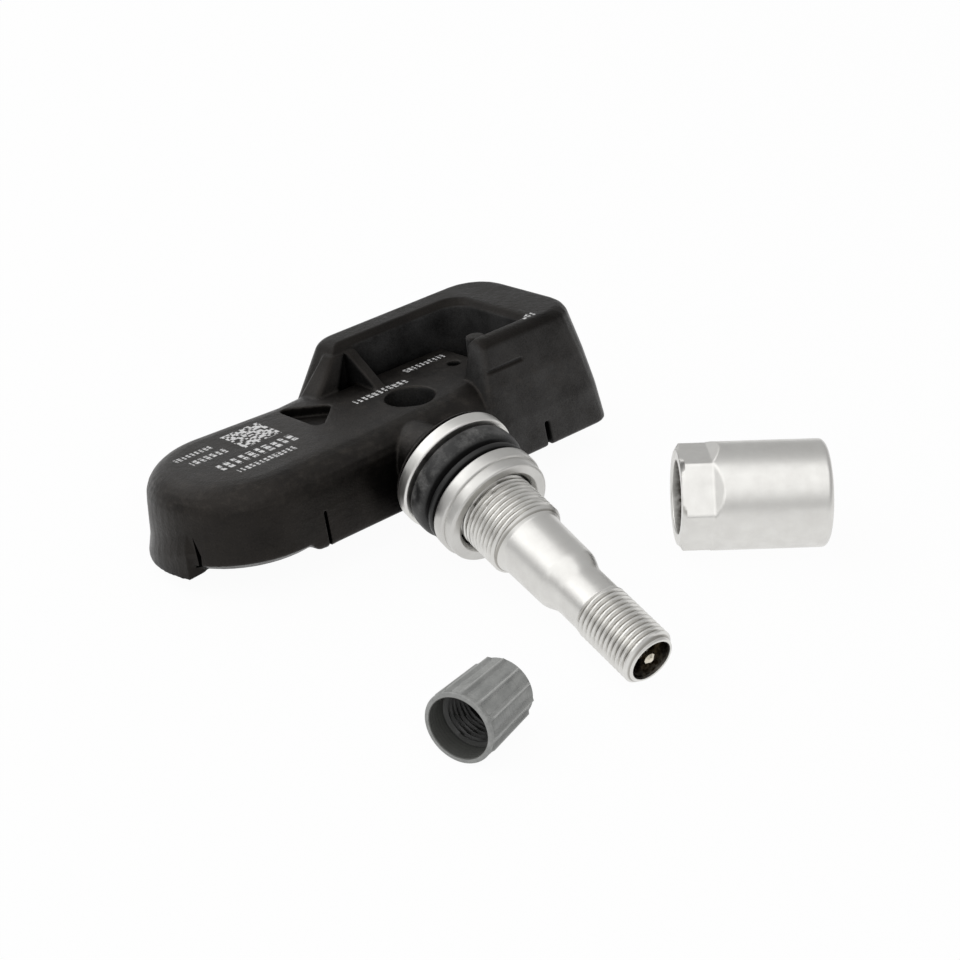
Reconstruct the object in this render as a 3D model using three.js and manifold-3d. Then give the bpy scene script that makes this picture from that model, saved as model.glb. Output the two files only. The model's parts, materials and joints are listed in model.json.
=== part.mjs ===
// Tyre pressure monitor: a moulded sensor casing with a bolt-on valve stem.
// Its sleeve nut and valve cap are taken off and lie beside it.
// Millimetres, +Z up. The origin is the centre of the whole object's footprint, on the surface it lies on.
// +X runs along the casing from its battery end, and the stem points towards -Y.
import * as THREE from 'three';
import { mergeVertices } from 'three/addons/utils/BufferGeometryUtils.js';
import Module from 'manifold-3d';

const wasm = await Module();
wasm.setup();

// Clearances
const seatGap = 0.3;
const slideGap = 0.3;
const rimGap = 0.45;
const overrun = 2;
const finestDetail = 0.01;

// Counts
const roundSides = 36;
const smallSides = 18;
const threadSides = 24;
const filletSteps = 6;
const cornerSteps = 5;
const skirtSteps = 10;
const spareTurns = 3;
const sideSteps = 3;

// Casing, seen from above: x = 0 is near the stem, y = 0 is the stem side's bottom edge
// The lobe goes round the battery, and the casing is as deep as the lobe is wide.
const batteryRadius = 10;
const lobeWall = 2.6;
const lobeStep = 0.4;
const lobeRadius = batteryRadius + slideGap + lobeWall;
const lobeX = -23;
const lobeY = lobeRadius + lobeStep;
const caseDepth = 2 * lobeY;
const softFillet = 4;
const edgeCorner = 0.02;
const lobeDraft = 0.5;
const lobeBaseInset = 2.2;
const lobeBaseRise = 1.4;
const lobeBlend = 2.8;
const ledgeHeight = 11.4;
const waistStep = 2;
const waistX = -9;
const shoulderX = 2;
const nearWaist = 0.6;
const baseChamfer = 0.4;

// Raised block and frame at the other end
const blockHeight = 17;
const blockRight = 32.2;
const blockLeft = 13.4;
const blockLeftLean = 4.6;
const blockNearLean = 4.2;
const nearCurve = 1.6;
const blockEndLean = 0.55;
const blockFarLean = 0.5;
const blockFillet = 1.2;
const edgeShare = 0.7;
const blockNearCorner = 2.5;
const blockNearCornerGrowth = 2.5;
const blockFarCorner = 5.5;
const farWall = 5.4;
const farWallLeft = 1.2;
const farWallLean = 11.2;
const nearWall = 2.8;
const endWall = 8.4;
const pocketLeft = 18;
const pocketFloor = 6.6;
const pocketCorner = 1.2;
const pocketFarCorner = 3;
const slotWidth = 2;
const slotLeft = -1.6;
const postLeft = -6.6;
const postRight = -1.6;
const postReach = 2.6;
const postHeadLeft = 0;
const postHeadRight = 2.4;
const postHeadReach = 0.7;
const postCorner = 0.7;
const ribWidth = 1.7;
const ribX = 3.2;
const ribReach = 6.8;

// Small features of the casing
const bayOffset = 0.7;
const bayNear = lobeY + bayOffset;
const inletX = 3.6;
const inletWall = 1.5;
const inletRadius = 3.5;
const inletY = bayNear - inletWall - inletRadius;
const inletFloor = 4.2;
const portX = 15.2;
const portY = 13.1;
const portRadius = 0.9;
const knobX = 15.6;
const knobY = 8.2;
const knobRadius = 1.35;
const dimpleDepth = 1.5;
const dimpleLeft = -10.4;
const dimpleRight = -4.4;
const dimpleNear = 10.7;
const dimpleFarInset = 5;
const slitWidth = 0.4;
const slitDepth = 1.2;
const lobeSlitX = -19;
const lobeSlitHeight = 5;
const blockSlitX = 19.9;
const blockSlitHeight = 3.6;
const blockSlitWidth = 0.8;
const lipLength = 6.6;
const lipLeft = 12.6;
const lipHeight = 13.2;
const lipStep = 0.45;
const skirtReach = 0.4;
const skirtTop = 5.6;
const skirtShoulder = 3.05;
const skirtDepth = 2.2;
const skirtDrop = 0.6;
const skirtFall = 4;
const skirtStart = 133;
const skirtEnd = 198;
const skirtRunout = 6.5;
const runoutShare = 0.65;

// Hollow of the casing and what it holds
const wall = 1.8;
const batteryThickness = 5;
const batteryLip = 1.2;
const batteryCanHeight = 0.6;
const strapThickness = 0.3;
const strapWidth = 4;
const strapInset = 1;
const strapReach = 4;
const strapFoot = 2.9;
const boardThickness = 0.8;
const pottingThickness = 1;
const bayCeiling = 5;
const bayLap = 2.5;
const bayRight = 29.4;
const bayCorner = 3;
const sideBayLeft = 9.2;
const sideBayNear = 3.8;
const endBayLeft = 25.6;
const endBayNear = 8;
const endBayInset = 6.6;
const endBayCeiling = 8.4;
const filterRadius = 1.5;
const filterThickness = 0.5;
const sealRadius = 1.7;
const chipSize = 6;
const chipThickness = 1.2;
const crystalX = 21;
const crystalY = 7.5;
const crystalLength = 4.6;
const crystalWidth = 1.8;
const crystalCornerShare = 0.9;
const crystalHeight = 1.4;
const coilFlange = 3;
const coilFlangeLength = 1.4;
const coilCore = 1.5;
const coilWindingWall = 0.45;
const antennaLeft = 1;
const antennaRight = 22.5;
const antennaInset = 6;
const antennaWidth = 1;
const antennaThickness = 0.5;
const capacitorX = -3;
const capacitorLength = 1.8;
const capacitorWidth = 1;
const capacitorHeight = 0.9;

// Stem: stations are measured along its axis from the back of its flange
const stemX = -2.2;
const stemY = -5.5;
const stemZ = 6.8;
const stemYaw = -4.8;
const stemDroop = 21.2;
const flangeRadius = 8.7;
const flangeThickness = 1.85;
const flangeChamfer = 0.3;
const tailRadius = 3;
const tailLength = 4.4;
const collarLength = 4.2;
const collarWaist = 4.7;
const collarShift = 0.7;
const collarHeight = 5;
const collarLevel = 5.7;
const collarEnd = 4.6;
const passageRadius = 1.3;
const neckRadius = 4.7;
const clampThreadRadius = 5.45;
const clampPitch = 0.75;
const clampThreadEnd = 17.4;
const upperShankRadius = 4.66;
const upperShankTip = 4.5;
const upperShankEnd = 25.1;
const lowerShankRadius = 3.68;
const lowerShankStart = 27.1;
const capThreadRadius = 3.87;
const capPitch = 25.4 / 32;
const capThreadStart = 31.4;
const stemLength = 41.75;
const tipChamfer = 0.7;
const threadDepthShare = 0.55;
const mouthRadius = 2.92;
const mouthDepth = 3;

// Grommet and washer
const grommetLength = 4.45;
const grommetRadius = 8.4;
const grommetBackLength = 2.9;
const grommetGrooveLength = 0.7;
const grommetFrontRadius = 7.95;
const grommetGroove = 6.9;
const grommetRound = 0.5;
const washerBoreRadius = 5.78;
const washerRadius = 8.05;
const washerRimThickness = 1.9;
const washerStepRadius = 7.7;
const washerThickness = 3.6;
const washerChamfer = 0.35;

// Valve core
const corePitch = 25.4 / 36;
const headRadius = 2.45;
const headLength = 5.5;
const headTop = 37;
const bridgeHeight = 1.9;
const bridgeLength = 4.2;
const bridgeThickness = 2.3;
const pinRadius = 0.4;
const pinHeadRadius = 0.8;
const pinHeadThickness = 0.6;
const pinTop = 41.6;
const pinTravel = 1.2;
const pinFootThickness = 0.6;
const barrelRadius = 1.95;
const barrelNeckRadius = 1.6;
const barrelBore = 1.35;
const barrelLength = 7.6;
const barrelFloor = 0.8;
const gasketHeight = 1.4;
const gasketTaper = 0.4;
const seatHeight = 1.2;
const seatRadius = 1.8;
const springWire = 0.3;
const springRadius = 0.9;
const springTurns = 5;
const springLength = 3.6;
const springSides = 5;
const springSteps = 8;

// Sleeve nut
const nutRadius = 7.25;
const nutLength = 19.9;
const hexLength = 4.2;
const hexRunout = 1.3;
const hexSides = 6;
const nutEndRadius = 6.3;
const nutChamferHeight = 0.6;
const nutBoreRadius = 4.95;
const nutThreadLength = 7.4;
const nutFarChamfer = 0.5;
const nutX = 19.95;
const nutY = -24.3;
const nutTurn = -38.5;
const hexTurn = -8.5;

// Valve cap
const capRadius = 4.89;
const capEndRadius = 4.39;
const capLength = 10.45;
const capEndChamfer = 0.6;
const capCollarRadius = 4.72;
const capCollarLength = 1.1;
const capRibs = 12;
const ribHeight = 0.4;
const ribRootShare = 0.3;
const capBoreRadius = 4.03;
const capBoreDepth = 3.2;
const capThreadDepth = 8.4;
const threadClearance = 0.06;
const capSealRadius = 3.1;
const capSealThickness = 0.7;
const capX = -33.3;
const capY = -40.7;
const capTurn = 16.3;

// Finishes, from the photograph
const finish = {
  casing: new THREE.MeshStandardMaterial({ color: 0x2b2a29, roughness: 0.55, metalness: 0 }),
  potting: new THREE.MeshStandardMaterial({ color: 0x1b1b1d, roughness: 0.35, metalness: 0 }),
  board: new THREE.MeshStandardMaterial({ color: 0x1f5b38, roughness: 0.5, metalness: 0 }),
  steel: new THREE.MeshStandardMaterial({ color: 0xb9bcc0, roughness: 0.3, metalness: 1 }),
  chip: new THREE.MeshStandardMaterial({ color: 0x232325, roughness: 0.5, metalness: 0 }),
  ferrite: new THREE.MeshStandardMaterial({ color: 0x3a3a3e, roughness: 0.7, metalness: 0 }),
  copper: new THREE.MeshStandardMaterial({ color: 0xb8683a, roughness: 0.35, metalness: 1 }),
  membrane: new THREE.MeshStandardMaterial({ color: 0xe8e6e0, roughness: 0.8, metalness: 0 }),
  aluminium: new THREE.MeshStandardMaterial({ color: 0xd4d3ce, roughness: 0.32, metalness: 1 }),
  rubber: new THREE.MeshStandardMaterial({ color: 0x2a2a2c, roughness: 0.85, metalness: 0 }),
  brass: new THREE.MeshStandardMaterial({ color: 0xb79a5e, roughness: 0.35, metalness: 1 }),
  capPlastic: new THREE.MeshStandardMaterial({ color: 0x6e706f, roughness: 0.5, metalness: 0 }),
};

// Solids

// A closed geometry as a solid that can be cut and joined.
function toSolid(geometry) {
  const bare = geometry.clone();
  bare.deleteAttribute('normal');
  bare.deleteAttribute('uv');
  const merged = mergeVertices(bare, 1e-4);
  const vertProperties = new Float32Array(merged.attributes.position.array);
  const triVerts = new Uint32Array(merged.index.array);
  return new wasm.Manifold(new wasm.Mesh({ numProp: 3, vertProperties, triVerts }));
}

// A solid as a geometry again.
function toGeometry(solid) {
  const data = solid.simplify(finestDetail).getMesh();
  const geometry = new THREE.BufferGeometry();
  geometry.setAttribute('position', new THREE.BufferAttribute(new Float32Array(data.vertProperties), 3));
  geometry.setIndex(new THREE.BufferAttribute(new Uint32Array(data.triVerts), 1));
  geometry.computeVertexNormals();
  return geometry;
}

function joinAll(solids) {
  return solids.reduce((whole, piece) => whole.add(piece));
}

function cutAll(solid, tools) {
  return tools.reduce((rest, tool) => rest.subtract(tool), solid);
}

function addPiece(parent, name, shape, material) {
  const geometry = toGeometry(shape.isBufferGeometry ? toSolid(shape) : shape);
  const piece = new THREE.Mesh(geometry, material);
  piece.name = name;
  parent.add(piece);
  return piece;
}

// A solid of revolution about Z from [radius, height] pairs that run upwards along the outside.
function turned(profile, sides = roundSides) {
  const points = profile.map(([radius, height]) => new THREE.Vector2(radius, height));
  const geometry = new THREE.LatheGeometry(points, sides);
  geometry.rotateX(Math.PI / 2);
  return toSolid(geometry);
}

// A solid cylinder along Z.
function disc(radius, low, high, sides = smallSides) {
  return turned([[0, low], [radius, low], [radius, high], [0, high]], sides);
}

// A ring along Z.
function ring(inner, outer, low, high, sides = roundSides) {
  return turned([[inner, low], [outer, low], [outer, high], [inner, high], [inner, low]], sides);
}

function block(low, high) {
  const size = high.map((value, axis) => value - low[axis]);
  const geometry = new THREE.BoxGeometry(...size);
  geometry.translate(...low.map((value, axis) => value + size[axis] / 2));
  return toSolid(geometry);
}

// A solid between two points, round, for drilled channels.
function rod(from, to, radius, sides = smallSides) {
  const start = new THREE.Vector3(...from);
  const way = new THREE.Vector3(...to).sub(start);
  const geometry = new THREE.CylinderGeometry(radius, radius, way.length(), sides);
  geometry.translate(0, way.length() / 2, 0);
  const up = new THREE.Vector3(0, 1, 0);
  geometry.applyQuaternion(new THREE.Quaternion().setFromUnitVectors(up, way.clone().normalize()));
  geometry.translate(start.x, start.y, start.z);
  return toSolid(geometry);
}

// The triangles between neighbouring rings of a stack, with count points in each.
function sideFaces(rings, count) {
  const index = [];
  for (let ringAt = 0; ringAt + 1 < rings; ringAt += 1) {
    for (let i = 0; i < count; i += 1) {
      const a = ringAt * count + i;
      const b = ringAt * count + ((i + 1) % count);
      index.push(a, b, b + count, a, b + count, a + count);
    }
  }
  return index;
}

function indexed(points, index) {
  const geometry = new THREE.BufferGeometry().setFromPoints(points);
  geometry.setIndex(index);
  return toSolid(geometry);
}

// A solid through a stack of flat outlines with the same number of points, each a list of Vector3.
// Seen from above each outline runs counter-clockwise, and the stack runs upwards.
function loft(levels) {
  const index = sideFaces(levels.length, levels[0].length);
  const faces = THREE.ShapeUtils.triangulateShape(levels[0].map((p) => new THREE.Vector2(p.x, p.y)), []);
  const top = (levels.length - 1) * levels[0].length;
  faces.forEach(([a, b, c]) => index.push(a, c, b));
  faces.forEach(([a, b, c]) => index.push(top + a, top + b, top + c));
  return indexed(levels.flat(), index);
}

// A solid through rings around any axis, closed by a fan at each end.
// Seen from the last ring each ring runs counter-clockwise.
function ringLoft(rings) {
  const count = rings[0].length;
  const points = rings.flat();
  const index = sideFaces(rings.length, count);
  [rings[0], rings.at(-1)].forEach((rim, end) => {
    const first = end * (rings.length - 1) * count;
    const hub = points.length;
    points.push(rim.reduce((sum, p) => sum.add(p), new THREE.Vector3()).divideScalar(count));
    for (let i = 0; i < count; i += 1) {
      const a = first + i;
      const b = first + ((i + 1) % count);
      if (end) index.push(hub, a, b);
      else index.push(hub, b, a);
    }
  });
  return indexed(points, index);
}

// The outline of a polygon with rounded corners, [x, y, radius] each, counter-clockwise, at one height.
function outline(corners, height) {
  const points = [];
  corners.forEach(([x, y, radius], i) => {
    const here = new THREE.Vector2(x, y);
    const before = new THREE.Vector2(...corners.at(i - 1)).sub(here).normalize();
    const after = new THREE.Vector2(...corners[(i + 1) % corners.length]).sub(here).normalize();
    const half = Math.acos(THREE.MathUtils.clamp(before.dot(after), -1, 1)) / 2;
    const middle = before.clone().add(after).normalize();
    const centre = here.clone().addScaledVector(middle, radius / Math.sin(half));
    const from = here.clone().addScaledVector(before, radius / Math.tan(half)).sub(centre).angle();
    const sweep = (Math.PI - 2 * half) * -Math.sign(before.cross(after));
    for (let step = 0; step <= cornerSteps; step += 1) {
      const angle = from + (sweep * step) / cornerSteps;
      points.push(new THREE.Vector3(
        centre.x + radius * Math.cos(angle),
        centre.y + radius * Math.sin(angle),
        height,
      ));
    }
  });
  return points;
}

// A moulded body: straight drafted sides, a small chamfer at its base and a round edge at its top.
// edges(height, inset) gives the corners at a height, drawn in by inset.
function moulded(edges, base, top, fillet, chamfer = baseChamfer) {
  const levels = [outline(edges(base, chamfer), base)];
  for (let step = 0; step < sideSteps; step += 1) {
    const height = base + chamfer + (top - fillet - base - chamfer) * (step / sideSteps);
    levels.push(outline(edges(height, 0), height));
  }
  for (let step = 0; step <= filletSteps; step += 1) {
    const angle = (Math.PI / 2) * (step / filletSteps);
    const height = top - fillet + fillet * Math.sin(angle);
    levels.push(outline(edges(height, fillet * (1 - Math.cos(angle))), height));
  }
  return loft(levels);
}

// A V-thread on a rod: rows of crests and roots that climb one pitch in a turn, cut to an envelope.
function threadedRod(crest, root, pitch, low, high, sides = threadSides) {
  const rows = 2 * (Math.ceil((high - low) / pitch) + spareTurns);
  const start = low - 2 * pitch;
  const at = (i, row) => (i < sides ? row * sides + i : (row + 2) * sides);
  const position = [];
  for (let row = 0; row <= rows; row += 1) {
    for (let i = 0; i < sides; i += 1) {
      const angle = (2 * Math.PI * i) / sides;
      const radius = row % 2 ? crest : root;
      const height = start + pitch * (row / 2 + i / sides);
      position.push(radius * Math.cos(angle), radius * Math.sin(angle), height);
    }
  }
  const index = [];
  for (let row = 0; row + 3 <= rows; row += 1) {
    for (let i = 0; i < sides; i += 1) {
      index.push(at(i, row), at(i + 1, row), at(i + 1, row + 1));
      index.push(at(i, row), at(i + 1, row + 1), at(i, row + 1));
    }
  }
  const lastRow = rows - 2;
  const bottom = position.length / 3;
  position.push(0, 0, start);
  position.push(0, 0, start + (pitch * lastRow) / 2 + pitch);
  const closeEnd = (row, centre, flip) => {
    const rim = [];
    for (let i = 0; i <= sides; i += 1) rim.push(at(i, row));
    rim.push(row * sides + sides);
    rim.forEach((a, k) => {
      const b = rim[(k + 1) % rim.length];
      if (flip) index.push(centre, a, b);
      else index.push(centre, b, a);
    });
  };
  closeEnd(0, bottom, false);
  closeEnd(lastRow, bottom + 1, true);
  const geometry = new THREE.BufferGeometry();
  geometry.setAttribute('position', new THREE.Float32BufferAttribute(position, 3));
  geometry.setIndex(index);
  return toSolid(geometry);
}

// The envelope of a thread: wider than its crests, with both ends chamfered from the root.
function threadEnds(crest, root, pitch, low, high) {
  const wide = crest + pitch;
  return turned([
    [0, low],
    [root, low],
    [wide, low + wide - root],
    [wide, high - wide + root],
    [root, high],
    [0, high],
  ]);
}

function threadRoot(crest, pitch) {
  return crest - threadDepthShare * pitch;
}

// Casing

const toRadians = THREE.MathUtils.degToRad;

const stemAxis = new THREE.Vector3(
  Math.sin(toRadians(stemYaw)) * Math.cos(toRadians(stemDroop)),
  -Math.cos(toRadians(stemYaw)) * Math.cos(toRadians(stemDroop)),
  -Math.sin(toRadians(stemDroop)),
);
const stemRoot = new THREE.Vector3(stemX, stemY, stemZ);

function stemPoint(station) {
  return stemRoot.clone().addScaledVector(stemAxis, station);
}

// The sensor rests on the far edge of its casing and on the rim of its stem's tip: its tilt about X.
function restTilt() {
  const contact = stemPoint(stemLength - tipChamfer);
  const farEdge = caseDepth - baseChamfer;
  let low = 0;
  let high = toRadians(stemDroop);
  for (let step = 0; step < 50; step += 1) {
    const tilt = (low + high) / 2;
    const rise = (farEdge - contact.y) * Math.sin(tilt) + contact.z * Math.cos(tilt);
    const drop = capThreadRadius * Math.cos(toRadians(stemDroop) - tilt);
    if (rise > drop) high = tilt;
    else low = tilt;
  }
  return (low + high) / 2;
}

const tilt = restTilt();
const contactY = caseDepth - baseChamfer;

// The height of the surface underneath, in the casing's own frame.
function surfaceBelow(y) {
  return -(contactY - y) * Math.tan(tilt);
}

// The lobe's radius at a height below its top fillet.
function lobeSide(height) {
  return lobeRadius - lobeDraft * Math.min(1, height / (ledgeHeight - softFillet));
}

function lobe() {
  const profile = [
    [0, 0],
    [lobeRadius - lobeBaseInset, 0],
    [lobeSide(lobeBaseRise), lobeBaseRise],
  ];
  for (let step = 0; step <= filletSteps; step += 1) {
    const angle = (Math.PI / 2) * (step / filletSteps);
    profile.push([
      lobeSide(ledgeHeight) - softFillet * (1 - Math.cos(angle)),
      ledgeHeight - softFillet + softFillet * Math.sin(angle),
    ]);
  }
  profile.push([0, ledgeHeight]);
  return turned(profile, roundSides + smallSides).translate([lobeX, lobeY, 0]);
}

// How far the block's near wall has curved in at a height.
function nearFace(height) {
  return blockNearLean * Math.max(0, height / blockHeight) ** nearCurve;
}

// The low middle of the casing, from the lobe into the block.
function ledge() {
  const blend = (height) => lobeBlend * Math.max(0, 1 - height / lobeBaseRise);
  const edges = (height, inset) => [
    [lobeX + blend(height), lobeY - lobeSide(height) + inset, edgeCorner],
    [stemX, nearWaist + nearFace(height) / 2 + inset, edgeCorner],
    [blockLeft - blockLeftLean, nearFace(height) + seatGap + inset, edgeCorner],
    [pocketLeft, nearFace(height) + nearWall / 2 + inset, edgeCorner],
    [pocketLeft, caseDepth - wall - inset, edgeCorner],
    [shoulderX, caseDepth - wall / 2 - inset, edgeCorner],
    [waistX, caseDepth - waistStep - inset, edgeCorner],
    [lobeX, lobeY + lobeSide(height) - inset, edgeCorner],
  ];
  return moulded(edges, 0, ledgeHeight, softFillet);
}

// The tall block with its sloping near wall.
function tallBlock() {
  const edges = (height, inset) => {
    const share = height / blockHeight;
    const left = blockLeft - blockLeftLean * (1 - share) + inset / 2;
    const near = nearFace(height) + inset;
    const right = blockRight - blockEndLean * share - inset;
    const far = caseDepth - blockFarLean * share - inset;
    return [
      [left, near, wall / 2],
      [right, near, blockNearCorner + blockNearCornerGrowth * share - inset / 2],
      [right, far, blockFarCorner - inset / 2],
      [left, far, wall / 2],
    ];
  };
  return moulded(edges, 0, blockHeight, blockFillet);
}

// The wall at the far side, from the block back towards the lobe, with a sloping end.
function backWall() {
  const front = caseDepth - farWall;
  const edges = (height, inset) => {
    const share = height / blockHeight;
    const left = farWallLeft - farWallLean * (1 - share) + inset;
    const far = caseDepth - blockFarLean * share - inset;
    return [
      [left, front - wall, wall / 2],
      [blockLeft + wall, front - wall, edgeCorner],
      [blockLeft + wall, far, edgeCorner],
      [left, far, wall],
    ];
  };
  return moulded(edges, ledgeHeight / 2, blockHeight, blockFillet, edgeCorner);
}

// The buttress at the free end of the back wall.
function post() {
  const front = caseDepth - farWall;
  const corners = (left, right, reach) => [
    [left, front - reach, postCorner],
    [right, front - reach, postCorner],
    [right, front + wall, postCorner],
    [left, front + wall, postCorner],
  ];
  const foot = corners(postLeft, postRight, postReach);
  const head = corners(postHeadLeft, postHeadRight, postHeadReach);
  return loft([outline(foot, ledgeHeight - wall), outline(head, blockHeight - blockFillet)]);
}

// The rib that runs from the top of the back wall down to the ledge.
function rib() {
  const front = caseDepth - farWall;
  const top = blockHeight - blockFillet;
  const shape = new THREE.Shape([
    new THREE.Vector2(front + wall, top),
    new THREE.Vector2(front - blockFillet / 2, top),
    new THREE.Vector2(front - ribReach, ledgeHeight),
    new THREE.Vector2(front - ribReach, ledgeHeight - wall),
    new THREE.Vector2(front - slotWidth, ledgeHeight - wall),
    new THREE.Vector2(front + wall, ledgeHeight + wall / 2),
  ]);
  const geometry = new THREE.ExtrudeGeometry(shape, { depth: ribWidth, bevelEnabled: false });
  geometry.rotateX(Math.PI / 2);
  geometry.rotateZ(Math.PI / 2);
  geometry.translate(ribX - ribWidth / 2, 0, 0);
  return toSolid(geometry);
}

// The collar behind the stem's flange, which narrows towards the casing.
function collar() {
  const across = new THREE.Vector3(Math.cos(toRadians(stemYaw)), Math.sin(toRadians(stemYaw)), 0);
  const upright = new THREE.Vector3().crossVectors(across, stemAxis).negate();
  const up = new THREE.Vector3(0, 0, 1);
  const waist = new THREE.Vector3(stemX + collarShift, stemY + collarLength, collarLevel);
  const rooted = new THREE.Vector3(stemX + collarShift, collarEnd, collarLevel);
  const circle = (centre, side, rise, halfWidth, halfHeight) => {
    const points = [];
    for (let i = 0; i < roundSides; i += 1) {
      const angle = (2 * Math.PI * i) / roundSides;
      points.push(centre.clone()
        .addScaledVector(side, halfWidth * Math.cos(angle))
        .addScaledVector(rise, halfHeight * Math.sin(angle)));
    }
    return points;
  };
  const face = flangeRadius - flangeChamfer;
  return ringLoft([
    circle(rooted, across, up, collarWaist, collarHeight),
    circle(waist, across, up, collarWaist, collarHeight),
    circle(stemPoint(-seatGap - flangeChamfer), across, upright, face, face),
    circle(stemPoint(-seatGap), across, upright, face, face),
  ]);
}

// A point at an angle and radius about the lobe's centre.
function aroundLobe(angle, radius, height) {
  const turn = toRadians(angle);
  return new THREE.Vector3(lobeX + radius * Math.cos(turn), lobeY + radius * Math.sin(turn), height);
}

// The skirt round the battery end: a slope, an upright face and a foot, rising to one end.
// Its near end runs out into the lobe's wall in a slanting face with a pointed top.
function skirt() {
  const inner = lobeRadius - skirtDepth;
  const outer = lobeRadius + skirtReach;
  const grounded = (angle, radius) => {
    const point = aroundLobe(angle, radius, 0);
    point.z = Math.max(surfaceBelow(point.y), -skirtDrop);
    return point;
  };
  const rings = [];
  for (let step = 0; step <= skirtSteps; step += 1) {
    const angle = skirtStart + (skirtEnd - skirtStart) * (step / skirtSteps);
    const fall = skirtFall * (1 - step / skirtSteps);
    const top = skirtTop - fall;
    const shoulder = Math.max(skirtShoulder - fall, 0);
    rings.push([
      aroundLobe(angle, inner, top),
      aroundLobe(angle, lobeSide(top), top),
      aroundLobe(angle, outer, shoulder),
      grounded(angle, outer),
      grounded(angle, inner),
    ]);
  }
  const apex = skirtEnd + skirtRunout * runoutShare;
  const last = skirtEnd + skirtRunout;
  rings.push([
    aroundLobe(apex, inner, skirtTop),
    aroundLobe(apex, lobeSide(skirtTop), skirtTop),
    aroundLobe((apex + last) / 2, lobeSide(skirtShoulder), skirtShoulder),
    aroundLobe(last, lobeRadius - lobeBaseInset / 2, 0),
    aroundLobe(last, inner, 0),
  ]);
  return ringLoft(rings);
}

// Heights of the pieces inside, stacked up from the base.
const boardSeat = seatGap + pottingThickness + seatGap;
const boardTop = boardSeat + boardThickness;
const partSeat = boardTop + seatGap;
const batterySeat = partSeat + strapThickness + seatGap;
const upperStrapSeat = batterySeat + batteryThickness + seatGap;
const batteryCeiling = upperStrapSeat + strapThickness + seatGap;
const bayFar = caseDepth - wall - seatGap;
const bayLeft = lobeX + batteryRadius - bayLap;
const endBayFar = caseDepth - endBayInset;
const antennaY = caseDepth - antennaInset;
const strapNear = bayNear + strapInset;
const strapFar = strapNear + strapWidth;
const strapLeg = lobeX + batteryRadius + 2 * slideGap;

// The outline of the bay for the board, drawn in by inset.
function bayOutline(inset, height) {
  return outline([
    [bayLeft + inset, bayNear + inset, wall],
    [sideBayLeft + inset, bayNear + inset, wall / 2],
    [sideBayLeft + inset, sideBayNear + inset, wall],
    [bayRight - inset, sideBayNear + inset, wall],
    [bayRight - inset, bayFar - inset, bayCorner],
    [bayLeft + inset, bayFar - 2 * wall - inset, bayCorner],
  ], height);
}

function bayPlate(inset, low, high) {
  return loft([bayOutline(inset, low), bayOutline(inset, high)]);
}

// The hollow for the battery, the board and the potting, open at the base.
function hollow() {
  const battery = disc(batteryRadius + slideGap, -overrun, batteryCeiling, roundSides)
    .translate([lobeX, lobeY, 0]);
  const strapBay = block(
    [lobeX, strapNear - slideGap, partSeat],
    [strapLeg + strapThickness + slideGap, strapFar + slideGap, batteryCeiling],
  );
  const endBay = block([endBayLeft, endBayNear, partSeat], [bayRight, endBayFar, endBayCeiling]);
  return joinAll([battery, bayPlate(0, -overrun, bayCeiling), strapBay, endBay]);
}

function pockets() {
  const front = caseDepth - farWall;
  const right = blockRight - blockEndLean - endWall;
  const near = blockNearLean + nearWall;
  const above = blockHeight + overrun;
  const open = (left, low, spread) => {
    const edges = (out) => [
      [left - out, near - out, pocketCorner],
      [right + out, near - out, pocketCorner],
      [right + out, front + out, pocketFarCorner],
      [left - out, front + out, pocketCorner],
    ];
    return loft([
      outline(edges(0), low),
      outline(edges(0), blockHeight - spread),
      outline(edges(spread), blockHeight),
      outline(edges(spread), above),
    ]);
  };
  const overLedge = open(farWallLeft - farWallLean - overrun, ledgeHeight, blockFillet * edgeShare);
  const deep = open(pocketLeft, pocketFloor, blockFillet * edgeShare);
  const slot = block(
    [slotLeft, front - slotWidth, pocketFloor],
    [pocketLeft + wall, front, ledgeHeight + wall],
  );
  return [overLedge, deep, slot];
}

function smallCuts() {
  const inlet = disc(inletRadius, inletFloor, blockHeight, roundSides - smallSides / 2)
    .translate([inletX, inletY, 0]);
  const port = disc(portRadius, bayCeiling - overrun, blockHeight).translate([portX, portY, 0]);
  const filterSeat = disc(filterRadius + seatGap, bayCeiling - overrun, bayCeiling + filterThickness + seatGap)
    .translate([portX, portY, 0]);
  const lobeSlit = block(
    [lobeSlitX, -overrun, -overrun],
    [lobeSlitX + slitWidth, nearWaist + slitDepth, lobeSlitHeight],
  );
  const blockSlit = block(
    [blockSlitX, -overrun, -overrun],
    [blockSlitX + blockSlitWidth, slitDepth + nearFace(blockSlitHeight), blockSlitHeight],
  );
  const lipNear = nearFace(lipHeight);
  const lip = block(
    [lipLeft, -overrun, lipHeight - lipStep],
    [lipLeft + lipLength, lipNear + lipStep / 2, lipHeight],
  );
  const dimpleFar = caseDepth - dimpleFarInset;
  const dimple = loft([ledgeHeight - dimpleDepth, ledgeHeight + overrun].map((height) => outline([
    [dimpleLeft, dimpleNear, wall / 2],
    [dimpleRight, (dimpleNear + dimpleFar) / 2, wall / 2],
    [dimpleLeft, dimpleFar, wall / 2],
  ], height)));
  return [inlet, port, filterSeat, lobeSlit, blockSlit, lip, dimple];
}

function airChannel() {
  const from = stemPoint(-tailLength);
  return rod([from.x, from.y, from.z], [inletX, inletY, from.z - wall / 2], passageRadius, smallSides / 2);
}

function stemSocket() {
  const socket = disc(tailRadius + seatGap, -tailLength - seatGap, overrun + flangeThickness, smallSides + 4);
  const geometry = toGeometry(socket);
  geometry.rotateX(toRadians(90 + stemDroop));
  geometry.rotateZ(toRadians(stemYaw));
  geometry.translate(stemX, stemY, stemZ);
  return toSolid(geometry);
}

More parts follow.
